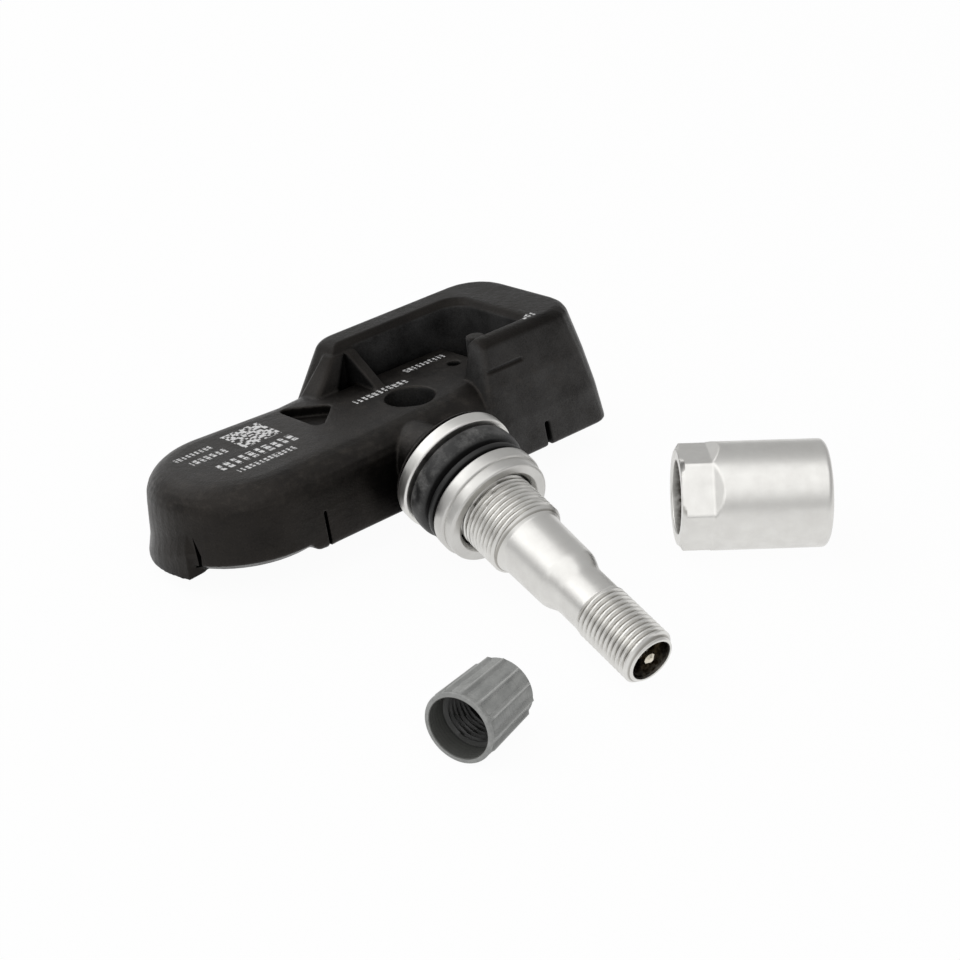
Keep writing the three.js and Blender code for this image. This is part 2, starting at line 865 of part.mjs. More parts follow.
function casing() {
  const knobTop = blockHeight - blockFillet / 2;
  const knob = disc(knobRadius, ledgeHeight - wall, knobTop, smallSides)
    .translate([knobX, knobY, 0]);
  const walls = cutAll(tallBlock().add(backWall()), pockets());
  const low = cutAll(joinAll([lobe(), ledge()]), pockets().slice(1));
  const body = joinAll([low, walls, post(), rib(), knob, collar(), skirt()]);
  return cutAll(body, [hollow(), ...smallCuts(), airChannel(), stemSocket()]);
}

// Pieces inside the casing

function potting() {
  const round = disc(batteryRadius, seatGap, seatGap + pottingThickness, roundSides)
    .translate([lobeX, lobeY, 0]);
  return round.add(bayPlate(slideGap, seatGap, seatGap + pottingThickness));
}

function battery() {
  const edge = batteryCanHeight / 2;
  const can = batteryRadius - batteryLip;
  return turned([
    [0, 0],
    [can, 0],
    [can, batteryCanHeight],
    [batteryRadius - edge, batteryCanHeight],
    [batteryRadius, batteryCanHeight + edge],
    [batteryRadius, batteryThickness - edge],
    [batteryRadius - edge, batteryThickness],
    [0, batteryThickness],
  ]).translate([lobeX, lobeY, batterySeat]);
}

// A strip of the strap's width, bent in the plane of X and Z.
function strip(points, width, near) {
  const geometry = new THREE.ExtrudeGeometry(
    new THREE.Shape(points.map(([x, z]) => new THREE.Vector2(x, z))),
    { depth: width, bevelEnabled: false },
  );
  geometry.rotateX(Math.PI / 2);
  geometry.translate(0, near + width, 0);
  return toSolid(geometry);
}

function upperStrap() {
  const left = lobeX - strapReach;
  const inner = strapLeg;
  const outer = strapLeg + strapThickness;
  const top = upperStrapSeat + strapThickness;
  return strip([
    [left, upperStrapSeat],
    [inner, upperStrapSeat],
    [inner, partSeat],
    [outer + strapFoot, partSeat],
    [outer + strapFoot, partSeat + strapThickness],
    [outer, partSeat + strapThickness],
    [outer, top],
    [left, top],
  ], strapWidth, strapNear);
}

function lowerStrap() {
  const low = [lobeX - strapReach, strapNear, partSeat];
  return block(low, [strapLeg - 2 * seatGap, strapFar, partSeat + strapThickness]);
}

function onBoard(x, y, length, width, height) {
  return block(
    [x - length / 2, y - width / 2, partSeat],
    [x + length / 2, y + width / 2, partSeat + height],
  );
}

function crystal() {
  const half = crystalLength / 2;
  const side = crystalWidth / 2;
  const corner = side * crystalCornerShare;
  const edges = (height, inset) => [
    [crystalX - half + inset, crystalY - side + inset, corner - inset],
    [crystalX + half - inset, crystalY - side + inset, corner - inset],
    [crystalX + half - inset, crystalY + side - inset, corner - inset],
    [crystalX - half + inset, crystalY + side - inset, corner - inset],
  ];
  const levels = [
    [partSeat, 0],
    [partSeat + crystalHeight - side / 3, 0],
    [partSeat + crystalHeight, side / 3],
  ];
  return loft(levels.map(([height, inset]) => outline(edges(height, inset), height)));
}

const coilX = (endBayLeft + bayRight) / 2;
const coilZ = partSeat + coilFlange / 2;
const coilNear = endBayNear + 2 * seatGap;
const coilFar = endBayFar - 2 * seatGap;

function coilBar(size, near, far) {
  return block([coilX - size / 2, near, coilZ - size / 2], [coilX + size / 2, far, coilZ + size / 2]);
}

function coilCoreSolid() {
  const nearEnd = coilBar(coilFlange, coilNear, coilNear + coilFlangeLength);
  const farEnd = coilBar(coilFlange, coilFar - coilFlangeLength, coilFar);
  return joinAll([nearEnd, coilBar(coilCore, coilNear, coilFar), farEnd]);
}

function coilWinding() {
  const near = coilNear + coilFlangeLength + seatGap;
  const far = coilFar - coilFlangeLength - seatGap;
  const inner = coilCore + 2 * seatGap;
  const sleeve = coilBar(inner + 2 * coilWindingWall, near, far);
  return sleeve.subtract(coilBar(inner, near - overrun, far + overrun));
}

function antenna() {
  const top = bayCeiling - seatGap;
  const under = top - antennaThickness;
  return strip([
    [antennaLeft, partSeat],
    [antennaLeft + antennaWidth, partSeat],
    [antennaLeft + antennaWidth, under],
    [antennaRight - antennaWidth, under],
    [antennaRight - antennaWidth, partSeat],
    [antennaRight, partSeat],
    [antennaRight, top],
    [antennaLeft, top],
  ], antennaWidth, antennaY);
}

function portSeal() {
  const low = partSeat + chipThickness + seatGap;
  return ring(portRadius, sealRadius, low, bayCeiling - seatGap, smallSides).translate([portX, portY, 0]);
}

function portFilter() {
  return disc(filterRadius, bayCeiling, bayCeiling + filterThickness).translate([portX, portY, 0]);
}

// Stem and the pieces on it, along +Z from the back of the flange

const grommetSeat = flangeThickness + seatGap;
// The wheel's rim goes between the grommet and the washer.
const washerSeat = grommetSeat + grommetLength + rimGap;
const headSeat = headTop - headLength;
const barrelTop = headSeat - seatGap;
const barrelEnd = barrelTop - barrelLength;
const gasketSeat = barrelTop - gasketHeight - seatGap;
const seatLow = barrelEnd - seatGap - seatHeight;
const pinEnd = seatLow - seatGap - pinFootThickness;
const coreBoreRadius = headRadius + slideGap;
const coreSeatRadius = barrelRadius + gasketTaper;
const coreBoreEnd = pinEnd - pinTravel - slideGap;

function stemThreads() {
  const clampRoot = threadRoot(clampThreadRadius, clampPitch);
  const capRoot = threadRoot(capThreadRadius, capPitch);
  const clampEnds = threadEnds(clampThreadRadius, clampRoot, clampPitch, washerSeat, clampThreadEnd);
  const tip = capThreadRadius - tipChamfer;
  const capEnds = turned([
    [0, capThreadStart],
    [capRoot, capThreadStart],
    [capThreadRadius + tipChamfer, capThreadStart + capThreadRadius + tipChamfer - capRoot],
    [capThreadRadius + tipChamfer, stemLength - 2 * tipChamfer],
    [tip, stemLength],
    [0, stemLength],
  ]);
  const clamp = threadedRod(clampThreadRadius, clampRoot, clampPitch, washerSeat, clampThreadEnd);
  const cap = threadedRod(capThreadRadius, capRoot, capPitch, capThreadStart, stemLength);
  return [clamp.intersect(clampEnds), cap.intersect(capEnds)];
}

function stemBody() {
  const tipCore = threadRoot(capThreadRadius, capPitch) - threadClearance;
  return turned([
    [0, -tailLength],
    [tailRadius, -tailLength],
    [tailRadius, 0],
    [flangeRadius - flangeChamfer, 0],
    [flangeRadius, flangeChamfer],
    [flangeRadius, flangeThickness],
    [neckRadius, flangeThickness],
    [neckRadius, clampThreadEnd - clampPitch],
    [upperShankRadius, clampThreadEnd],
    [upperShankTip, upperShankEnd],
    [lowerShankRadius, lowerShankStart],
    [lowerShankRadius, capThreadStart - capPitch / 2],
    [tipCore, capThreadStart + capPitch / 2],
    [tipCore, stemLength - tipChamfer],
    [0, stemLength - tipChamfer],
  ]);
}

function stemBore() {
  return turned([
    [0, -tailLength - overrun],
    [passageRadius, -tailLength - overrun],
    [passageRadius, coreBoreEnd],
    [coreSeatRadius, coreBoreEnd],
    [coreSeatRadius, gasketSeat],
    [coreBoreRadius, gasketSeat + gasketHeight],
    [coreBoreRadius, stemLength - mouthDepth],
    [mouthRadius, stemLength - mouthDepth + seatGap],
    [mouthRadius, stemLength + overrun],
    [0, stemLength + overrun],
  ], smallSides + smallSides / 5);
}

function stem() {
  return joinAll([stemBody(), ...stemThreads()]).subtract(stemBore());
}

function grommet() {
  const inner = neckRadius + seatGap;
  const top = grommetSeat + grommetLength;
  const backEnd = grommetSeat + grommetBackLength;
  const frontStart = backEnd + grommetGrooveLength;
  return turned([
    [inner, grommetSeat],
    [grommetRadius - grommetRound, grommetSeat],
    [grommetRadius, grommetSeat + grommetRound],
    [grommetRadius, backEnd - grommetRound],
    [grommetRadius - grommetRound, backEnd - grommetRound / 3],
    [grommetGroove, backEnd + grommetRound / 2],
    [grommetGroove, frontStart - grommetRound / 2],
    [grommetFrontRadius - grommetRound, frontStart],
    [grommetFrontRadius, frontStart + grommetRound],
    [grommetFrontRadius, top - grommetRound],
    [grommetFrontRadius - grommetRound, top],
    [inner, top],
    [inner, grommetSeat],
  ]);
}

function washer() {
  const step = washerSeat + washerRimThickness;
  const top = washerSeat + washerThickness;
  return turned([
    [washerBoreRadius, washerSeat],
    [washerRadius - washerChamfer, washerSeat],
    [washerRadius, washerSeat + washerChamfer],
    [washerRadius, step - washerChamfer / 2],
    [washerStepRadius, step],
    [washerStepRadius, top - washerChamfer],
    [washerStepRadius - washerChamfer, top],
    [washerBoreRadius + washerChamfer, top],
    [washerBoreRadius, top - washerChamfer],
    [washerBoreRadius, washerSeat],
  ]);
}

// Valve core

function coreHead() {
  const root = threadRoot(headRadius, corePitch);
  const rounded = threadedRod(headRadius, root, corePitch, headSeat, headTop, smallSides);
  const ends = threadEnds(headRadius, root, corePitch, headSeat, headTop);
  const bridge = block(
    [-bridgeLength / 2, -bridgeThickness / 2, headTop - corePitch],
    [bridgeLength / 2, bridgeThickness / 2, headTop + bridgeHeight],
  );
  const bore = disc(barrelBore, headSeat - overrun, headTop - corePitch);
  const pinHole = disc(pinRadius + slideGap, headSeat, headTop + bridgeHeight + overrun, smallSides / 2);
  return rounded.intersect(ends).add(bridge).subtract(bore).subtract(pinHole);
}

function coreBarrel() {
  return turned([
    [pinRadius + slideGap, barrelEnd],
    [barrelRadius, barrelEnd],
    [barrelRadius, gasketSeat - seatGap],
    [barrelNeckRadius, gasketSeat - seatGap],
    [barrelNeckRadius, barrelTop],
    [barrelBore, barrelTop],
    [barrelBore, barrelEnd + barrelFloor],
    [pinRadius + slideGap, barrelEnd + barrelFloor],
    [pinRadius + slideGap, barrelEnd],
  ], smallSides);
}

function coreGasket() {
  const inner = barrelNeckRadius + seatGap;
  return turned([
    [inner, gasketSeat],
    [coreSeatRadius - seatGap, gasketSeat],
    [headRadius, gasketSeat + gasketHeight],
    [inner, gasketSeat + gasketHeight],
    [inner, gasketSeat],
  ], smallSides);
}

const springLow = barrelEnd + barrelFloor + seatGap;
const collarLow = springLow + springLength + springWire + seatGap;

function corePin() {
  const collarTop = collarLow + pinFootThickness;
  return turned([
    [0, pinEnd],
    [pinHeadRadius, pinEnd],
    [pinHeadRadius, pinEnd + pinFootThickness],
    [pinRadius, pinEnd + pinFootThickness],
    [pinRadius, collarLow],
    [springRadius, collarLow],
    [springRadius, collarTop],
    [pinRadius, collarTop],
    [pinRadius, pinTop - pinHeadThickness],
    [pinHeadRadius, pinTop - pinHeadThickness],
    [pinHeadRadius, pinTop - pinHeadThickness / 2],
    [pinRadius, pinTop],
    [0, pinTop],
  ], smallSides / 2);
}

function coreSeat() {
  return ring(pinRadius + seatGap, seatRadius, seatLow, seatLow + seatHeight, smallSides);
}

class Helix extends THREE.Curve {
  getPoint(share) {
    const angle = 2 * Math.PI * springTurns * share;
    const height = springLow + springWire / 2 + springLength * share;
    return new THREE.Vector3(springRadius * Math.cos(angle), springRadius * Math.sin(angle), height);
  }
}

function coreSpring() {
  const corners = [];
  for (let i = 0; i < springSides; i += 1) {
    const angle = (2 * Math.PI * i) / springSides;
    corners.push(new THREE.Vector2(Math.cos(angle), Math.sin(angle)).multiplyScalar(springWire / 2));
  }
  return new THREE.ExtrudeGeometry(new THREE.Shape(corners), {
    extrudePath: new Helix(),
    steps: springTurns * springSteps,
    bevelEnabled: false,
  });
}

// Sleeve nut, along +Z from its hexagonal end

// What is milled away at one flat of the hexagon, which runs out in a slope.
function flatCutter(turn) {
  const flat = nutRadius * Math.cos(Math.PI / hexSides);
  const outside = nutRadius + overrun;
  const slope = hexRunout / (nutRadius - flat);
  const geometry = new THREE.ExtrudeGeometry(new THREE.Shape([
    new THREE.Vector2(flat, -overrun),
    new THREE.Vector2(outside, -overrun),
    new THREE.Vector2(outside, hexLength + slope * (outside - flat)),
    new THREE.Vector2(flat, hexLength),
  ]), { depth: 2 * outside, bevelEnabled: false });
  geometry.translate(0, 0, -outside);
  geometry.rotateX(Math.PI / 2);
  geometry.rotateZ(turn);
  return toSolid(geometry);
}

function nut() {
  const envelope = turned([
    [0, 0],
    [nutEndRadius, 0],
    [nutRadius, nutChamferHeight],
    [nutRadius, nutLength - nutFarChamfer],
    [nutRadius - nutFarChamfer, nutLength],
    [0, nutLength],
  ]);
  const flats = [];
  const step = (2 * Math.PI) / hexSides;
  for (let side = 0; side < hexSides; side += 1) flats.push(flatCutter(step * side));
  const threadLow = nutLength - nutThreadLength;
  const tapRadius = clampThreadRadius + threadClearance;
  const tapRoot = threadRoot(tapRadius, clampPitch);
  const tap = threadedRod(tapRadius, tapRoot, clampPitch, threadLow, nutLength + overrun)
    .intersect(disc(nutRadius, threadLow, nutLength + overrun));
  const bore = disc(nutBoreRadius, -overrun, nutLength + overrun, threadSides);
  const entry = turned([
    [0, nutLength - clampPitch],
    [tapRoot, nutLength - clampPitch],
    [tapRadius + overrun, nutLength + overrun],
    [0, nutLength + overrun],
  ], threadSides);
  return cutAll(envelope, [...flats, bore, tap, entry]);
}

// Valve cap, along +Z from its mouth

function capSection(crest, root, height) {
  const points = [];
  const shares = [[0, crest], [ribRootShare, root], [1 - ribRootShare, root]];
  for (let rib = 0; rib < capRibs; rib += 1) {
    shares.forEach(([share, radius]) => {
      const angle = (2 * Math.PI * (rib + share)) / capRibs;
      points.push(new THREE.Vector3(radius * Math.cos(angle), radius * Math.sin(angle), height));
    });
  }
  return points;
}

function cap() {
  const lean = (capRadius - capEndRadius) / capLength;
  const section = (height, extra) => {
    const crest = capRadius - lean * height - extra;
    return capSection(crest, crest - ribHeight, height);
  };
  const ribbed = loft([
    capSection(capCollarRadius - ribHeight / 2, capCollarRadius - ribHeight / 2, capCollarLength / 2),
    section(capCollarLength + ribHeight / 2, 0),
    section(capLength - capEndChamfer, 0),
    section(capLength, capEndChamfer / 2),
  ]);
  const collarRing = turned([
    [0, 0],
    [capCollarRadius - seatGap / 2, 0],
    [capCollarRadius, seatGap / 2],
    [capCollarRadius, capCollarLength],
    [0, capCollarLength + ribHeight],
  ]);
  const tapRadius = capThreadRadius + threadClearance;
  const tapRoot = threadRoot(tapRadius, capPitch);
  const threadEnd = capThreadDepth - capSealThickness - 2 * seatGap;
  const tap = threadedRod(tapRadius, tapRoot, capPitch, capBoreDepth - capPitch, threadEnd)
    .intersect(disc(capRadius, capBoreDepth - capPitch, threadEnd));
  const mouth = disc(capBoreRadius, -overrun, capBoreDepth, threadSides);
  const end = disc(tapRoot, capBoreDepth, capThreadDepth, threadSides);
  return cutAll(ribbed.add(collarRing), [tap, mouth, end]);
}

function capSeal() {
  const top = capThreadDepth - seatGap;
  return disc(capSealRadius, top - capSealThickness, top);
}

// The whole object

const object = new THREE.Group();
const sensor = new THREE.Group();
sensor.rotation.x = -tilt;
sensor.position.z = contactY * Math.sin(tilt);
object.add(sensor);

addPiece(sensor, 'casing', casing(), finish.casing);
addPiece(sensor, 'potting', potting(), finish.potting);
addPiece(sensor, 'circuit_board', bayPlate(slideGap, boardSeat, boardTop), finish.board);
addPiece(sensor, 'battery_cell', battery(), finish.steel);
addPiece(sensor, 'battery_strap_top', upperStrap(), finish.steel);
addPiece(sensor, 'battery_strap_bottom', lowerStrap(), finish.steel);
const chip = onBoard(portX, portY, chipSize, chipSize, chipThickness);
addPiece(sensor, 'sensor_chip', chip, finish.chip);
addPiece(sensor, 'port_seal', portSeal(), finish.rubber);
addPiece(sensor, 'port_filter', portFilter(), finish.membrane);
addPiece(sensor, 'crystal', crystal(), finish.steel);
addPiece(sensor, 'lf_core', coilCoreSolid(), finish.ferrite);
addPiece(sensor, 'lf_winding', coilWinding(), finish.copper);
addPiece(sensor, 'rf_antenna', antenna(), finish.copper);
const capacitor = onBoard(
  capacitorX,
  antennaY - capacitorWidth,
  capacitorLength,
  capacitorWidth,
  capacitorHeight,
);
addPiece(sensor, 'antenna_capacitor', capacitor, finish.membrane);

const stemTurn = new THREE.Group();
stemTurn.position.copy(stemRoot);
stemTurn.rotation.z = toRadians(stemYaw);
sensor.add(stemTurn);
const stemGroup = new THREE.Group();
stemGroup.rotation.x = toRadians(90 + stemDroop);
stemTurn.add(stemGroup);

addPiece(stemGroup, 'valve_stem', stem(), finish.aluminium);
addPiece(stemGroup, 'grommet', grommet(), finish.rubber);
addPiece(stemGroup, 'washer', washer(), finish.aluminium);
addPiece(stemGroup, 'core_head', coreHead(), finish.brass);
addPiece(stemGroup, 'core_barrel', coreBarrel(), finish.brass);
addPiece(stemGroup, 'core_gasket', coreGasket(), finish.membrane);
addPiece(stemGroup, 'core_pin', corePin(), finish.steel);
addPiece(stemGroup, 'core_seat', coreSeat(), finish.rubber);
addPiece(stemGroup, 'core_spring', coreSpring(), finish.steel);

// A group whose +Z runs level, turned about the vertical, at a place on the surface.
function levelGroup(x, y, height, turn, dip) {
  const place = new THREE.Group();
  place.position.set(x, y, height);
  place.rotation.z = toRadians(turn);
  object.add(place);
  const axis = new THREE.Group();
  axis.rotation.y = Math.PI / 2 + dip;
  place.add(axis);
  return axis;
}

const nutGroup = levelGroup(nutX, nutY, nutRadius, nutTurn, 0);
const nutPiece = addPiece(nutGroup, 'sleeve_nut', nut(), finish.aluminium);
nutPiece.rotation.z = toRadians(hexTurn);

const capDip = Math.atan2(capRadius - capEndRadius, capLength);
const capGroup = levelGroup(capX, capY, capRadius / Math.cos(capDip), capTurn, capDip);
addPiece(capGroup, 'valve_cap', cap(), finish.capPlastic);
addPiece(capGroup, 'cap_seal', capSeal(), finish.rubber);

// The origin goes to the bottom centre of the whole object.
const bounds = new THREE.Box3().setFromObject(object, true);
const middle = bounds.getCenter(new THREE.Vector3());
object.position.set(-middle.x, -middle.y, -bounds.min.z);

const part = new THREE.Group();
part.add(object);

export default part;
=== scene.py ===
# The looks of a tyre pressure monitor: a moulded sensor casing on a turned metal valve stem,
# with its sleeve nut and valve cap lying beside it. Blender 4.5, metres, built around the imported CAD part.
import json
import math

import bpy
import numpy as np
from mathutils import Matrix, Vector


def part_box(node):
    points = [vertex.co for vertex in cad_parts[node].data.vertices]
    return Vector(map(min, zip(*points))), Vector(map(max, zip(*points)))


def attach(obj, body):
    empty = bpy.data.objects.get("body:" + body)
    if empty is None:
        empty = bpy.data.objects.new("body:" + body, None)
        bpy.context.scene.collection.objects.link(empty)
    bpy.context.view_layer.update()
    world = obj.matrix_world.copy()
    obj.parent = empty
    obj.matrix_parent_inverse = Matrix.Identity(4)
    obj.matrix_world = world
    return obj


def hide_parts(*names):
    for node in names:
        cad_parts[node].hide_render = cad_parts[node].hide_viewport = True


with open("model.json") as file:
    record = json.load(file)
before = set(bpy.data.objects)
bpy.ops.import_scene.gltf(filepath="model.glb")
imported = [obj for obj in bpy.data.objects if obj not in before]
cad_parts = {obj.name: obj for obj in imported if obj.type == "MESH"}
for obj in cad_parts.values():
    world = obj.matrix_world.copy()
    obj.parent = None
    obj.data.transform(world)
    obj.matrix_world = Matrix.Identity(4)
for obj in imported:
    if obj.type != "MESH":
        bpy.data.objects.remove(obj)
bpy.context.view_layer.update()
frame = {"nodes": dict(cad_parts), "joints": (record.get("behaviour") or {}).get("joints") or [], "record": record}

# Sizes are in millimetres, in each piece's own frame, and MM brings them to metres.
MM = 0.001

# Points in one ring, and in one of the cap's; steps in one rounded corner, and how much of a leg it may
# take; rows in one turn of a thread; the longest steps along the nut's outside and along the cap
FINE = 144
CAP_FINE = 288
ARC_STEPS = 5
LEG_SHARE = 0.45
ROWS_PER_PITCH = 8
RAMP_STEP = 0.15
RIB_STEP = 1.2

# Edges sharper than this angle stay hard, and radii closer than SAME are one
SHARP = math.radians(38)
SAME = 1e-6

# Where the frame's pieces lie
BASE_SPOT = (-4, 7)
HEAD_SEAT = 31.5
NUT_STATION = 1.5
CAP_STATION = 2.2

# Casing: how finely and how often its edges are softened, and the boxes that stay crisp
VOXEL = 0.15
SOFTENING = 14
SOFTENING_SHARE = 0.5
CRISP = [
    ((-19.6, -1, -1), (-18, 2.5, 6)),
    ((11.5, -1, 11.5), (20.5, 3.5, 14)),
    ((-37.5, 3.5, -1.5), (-32.5, 11, 6.3)),
]

# Stem, by stations along its axis
FLANGE = (8.7, 1.85)
NECK_RADIUS = 4.7
TAIL = (3, 4.4)
CLAMP_THREAD = dict(crest=5.45, pitch=0.75, start=7.05, end=17.4, lead_in=0.4, lead_out=0.9)
UPPER_SHANK = (4.66, 4.5, 25.1)
LOWER_SHANK = (3.68, 27.1)
CAP_THREAD = dict(crest=3.87, pitch=25.4 / 32, start=31.4, end=41.75, lead_in=0.35)
STEM_LENGTH = 41.75
TIP_CHAMFER = 0.7
MOUTH = (2.92, 3)
MOUTH_LIP = 0.1
CORE_BORE = 2.75
CORE_STEP = 0.2
GASKET_BORE = 2.35
BORE_STATIONS = (18.7, 29.5, 31.2)
PASSAGE_RADIUS = 1.3
STEM_ROUND = dict(passage=0.2, tail=0.3, flange=0.35, upper=0.1, shoulder=0.6, neck=0.2, tip=0.12, mouth=0.1)

# A thread's groove: its depth in pitches, and the shares of half a turn that are crest and slope
THREAD_DEPTH = 0.55
CREST_SHARE = 0.3
SLOPE_SHARE = 0.62

# Grommet and washer
GROMMET = dict(seat=2.15, length=4.45, back=2.9, groove=0.7, outer=8.4, front=7.95, neck=6.9, inner=5)
GROMMET_SLOPE = dict(seat=0.2, back=0.1, back_edge=0.15, neck=0.25, front_edge=0.15)
GROMMET_ROUND = dict(seat=0.6, lobe=1.2, back=0.9, neck_back=0.5, neck_front=0.4, front=0.7)
WASHER = dict(seat=7.05, rim=1.9, thickness=3.6, outer=8.05, step=7.7, bore=5.78, step_rise=0.12, chamfer=0.5)
WASHER_ROUND = dict(bore=0.2, back=0.5, rim=0.35, front=0.4, chamfer=0.1)

# Nut
NUT = dict(radius=7.25, length=19.9, flat=6.28, flat_end=4.2, ramp_end=5.5, end=6.3, chamfer=0.6, far=0.5)
NUT_BORE = 4.95
NUT_THREAD = dict(crest=5.51, pitch=0.75, start=12.5, end=19.9, lead_in=0.3, lead_out=0.4, flare=0.3)
NUT_ROUND = dict(bore=0.25, edge=0.1, far=0.3)
HEX_SIDES = 6
HEX_TURN = -8.5
HEX_MARGIN = 0.1

# Cap
CAP = dict(
    radius=4.89, end=4.39, length=10.45, collar=4.72, collar_length=1.1, collar_rise=0.4,
    ribs=12, rib=0.4, bore=4.03, mouth=3.2, mouth_step=0.2, depth=8.4, chamfer=(0.45, 0.4), hub=1)
CAP_LEAN = (CAP["radius"] - CAP["end"]) / CAP["length"]
CAP_ROUND = dict(mouth=0.15, collar=0.25, ribs=0.1, end=0.05)
RIB = dict(sharpening=1.35, crest=0.03, slope=0.12, start=0.5, rise=0.6, margin=0.05)
CAP_TAP = dict(crest=3.93, pitch=25.4 / 32, start=3.2, end=7.1, lead_out=0.3)

# Looks: a noise is its scale, detail and roughness, a band is the values that become 0 and 1 and may be
# followed by the values that they become instead, and colours are linear. EVEN is the busy part of a noise.
EVEN = (0.3, 0.7)
# The middle of anything that repeats from 0 to 1
MIDDLE = 0.5

# Casing's plastic, with painted light: paler on the steep sides of the block
WARM = (1, 0.88, 0.76)
CASE_TINT = (1, 0.92, 0.86)
CASE_DARK = 0.0015
CASE_LIGHT = 0.015
CASE_SHINE = 0.24
CASE_CLOUDS = (0.22, 4)
CASE_SPECKLE = (5.5, 2)
CLOUD_SHARE = 0.6
SPECKLE_SHARE = 0.45
CASE_SHADE = (0.35, 0.75)
CASE_ROUGH = (0.28, 0.42)
CASE_SWELL = dict(noise=(1.1, 3), depth=0.06)
CASE_GRAIN = dict(noise=(4.5, 4, 0.65), depth=0.045)
BLOCK = dict(along=(-4, 8), steep=(0.7, 0.3), dark=2, light=4, top=(13, 15), top_shine=0.55)

# Dust round the top of the casing's walls
DUST = dict(colour=0.06, noise=(0.55, 6, 0.7), squash=(1, 1, 1.6), patches=(0.5, 0.72), share=0.35)
DUST_HEIGHTS = ((6.5, 9.5), (12.2, 10.8))

# Painted shade on the casing: it goes nearly black in everything narrow, in the slit and in the notch at the
# skirt's end
CREVICE = dict(distance=5, samples=6, power=1.6)
SHADE_COLOUR = 0.001
SLIT = dict(middle=-18.8, half=0.2, depth=2.1, height=5)
NOTCH = dict(foot=0.9, top=5.35, middle=-34.4, tip=-34.6, half=0.24, across=8.5, reach=0.9)

# Printed places on the casing: centre x, centre y, half length, half height and mean stroke width
LINES = [
    (-20.6, 11.6, 6.3, 1.15, 1.3),
    (-21.2, 8.6, 4.7, 0.6, 0.75),
    (-25.5, 15.9, 2.8, 0.75, 0.9),
    (-26.2, 18.5, 2.9, 0.55, 0.7),
    (2.5, 13.8, 4.8, 0.65, 0.9),
    (12.6, 16.6, 3.6, 0.6, 0.75),
]
HIGH_LINE = (23.6, 6.25, 1.3, 0.6, 0.9)
CODE = (-17.6, 17.1, 3.1, 2.9, 0.42)
CODE_SHARE = 0.62
STROKE = dict(widths=(0.2, 0.36), cut=0.12)
PRINT = dict(colour=0.75, share=0.92, wear=(3.2, 3), worn=(0.36, 0.44), level=(0.93, 0.97))
PRINT_HEIGHTS = dict(ledge=11.4, ledge_half=0.4, block=(15.5, 16.2))

# Turned metal
METAL = dict(tint=(1, 0.99, 0.955), dull_tint=(1, 0.985, 0.95), dull=0.93, clouds=(0.5, 3))
TURNING = dict(noise=(1.0, 4, 0.6), depth=0.0015, spread=0.05)
# Painted shade in a hollow of the metal, mottled by noise
METAL_HOLLOW_SHADE = dict(colour=0.07, tint=(1, 0.86, 0.7), noise=(1.6, 4), band=(0.35, 0.6, 0.5, 1))
# How much darker the roots of a thread are, and how deep the darkening reaches
ROOTS = dict(colour=0.3, tint=(1, 0.95, 0.86), upper=0.62, lower=0.95, below=1.2, share=0.8)
MOUTH_SHADE = (3.0, 41.6, 41.2)
NUT_SHADE = (5.6, 0.2, 1.2)
STEM_METAL = dict(colour=0.74, roughness=0.36, ring_scale=5.0, mottle=0.04)
WASHER_METAL = dict(colour=0.62, roughness=0.38, ring_scale=7.0, mottle=0.05)
NUT_METAL = dict(colour=0.74, roughness=0.36, ring_scale=5.0, mottle=0.03)

# Rubber and the cap's plastic
RUBBER_COLOUR = 0.008
RUBBER_SHINE = 0.4
RUBBER_GRAIN = dict(noise=(3.5, 5), depth=0.03)
RUBBER_DUST = dict(colour=0.2, tint=(1, 0.99, 0.97), start=0.5, share=0.75, rough=(0, 0.6, 0.42, 0.85))
RUBBER_PATCHES = dict(noise=(0.42, 6, 0.65), band=(0.42, 0.66))
RUBBER_POWDER = dict(noise=(4.5, 4), band=(0.35, 0.7, 0.5, 1.0))
# The cap's crest colour is a painted highlight on its rib crests
CAP_COLOURS = dict(dark=0.24, dark_tint=(0.98, 1, 0.97), light=0.36, light_tint=(0.99, 1, 0.97), crest=0.42)
# Painted shade inside the cap: dark behind its mouth and darker still deeper in
CAP_HOLLOW_SHADE = dict(mouth=0.1, mouth_tint=(0.98, 1, 0.93), deep=0.035, deep_tint=(0.98, 1, 0.95))
CAP_SKIN = dict(clouds=(0.9, 4), squash=(1, 1, 0.4), rough=(0.32, 0.45))
# Where the cap's colours change: past its bore, at its crests where a highlight is painted, behind its mouth where
# painted shade starts and before its closed end
CAP_PLACES = dict(outside=(0.09, 0.13), crest=(-0.16, -0.04), hollow=(-0.7, 0.1), closed=0.2)
CAP_WAVES = dict(rate=12.0, depth=0.012, strength=0.6)
CAP_GRAIN = dict(noise=(6, 3), depth=0.03)

# Plain materials and the board
PLAIN = dict(detail=4, spread=0.06, grain_rate=6, grain_detail=3)
BOARD = dict(plain=(0.01, 0.09, 0.04, 1), track=(0.02, 0.17, 0.08, 1), slant=0.5, rate=0.8, width=0.14)
BOARD_ROUGH = dict(noise=(2,), spread=(0.3, 0.42))
BOARD_RISE = 0.03

# Studio: the camera, in millimetres, the floor's size in metres, and the light that each kind of ray sees
CAMERA_SPOT = (-190.5, -208.6, 181.3)
AIM = (9.83, 13.92, 0)
FOCAL = 93.89
SENSOR = 36
CLIP_START = 0.01
FLOOR_SIZE = 4
FLOOR_GREY = 0.85
FLOOR_GLOW = 0.96
SHINY_FLOOR = 0.98
AMBIENT = 0.42
TENT_AIM = (-0.32, -0.35, 0.88)
TENT_FROM = 0.25
TENT_TO = 0.95
TENT_LOW = 0.52
TENT_HIGH = 0.62
KEY = dict(spot=(-0.3, -0.1, 0.6), size=(1.3, 1.2), power=3.6)
BACK = dict(spot=(-0.15, 0.55, 0.45), size=(0.9, 0.4), power=1.3)


# Frames of the pieces

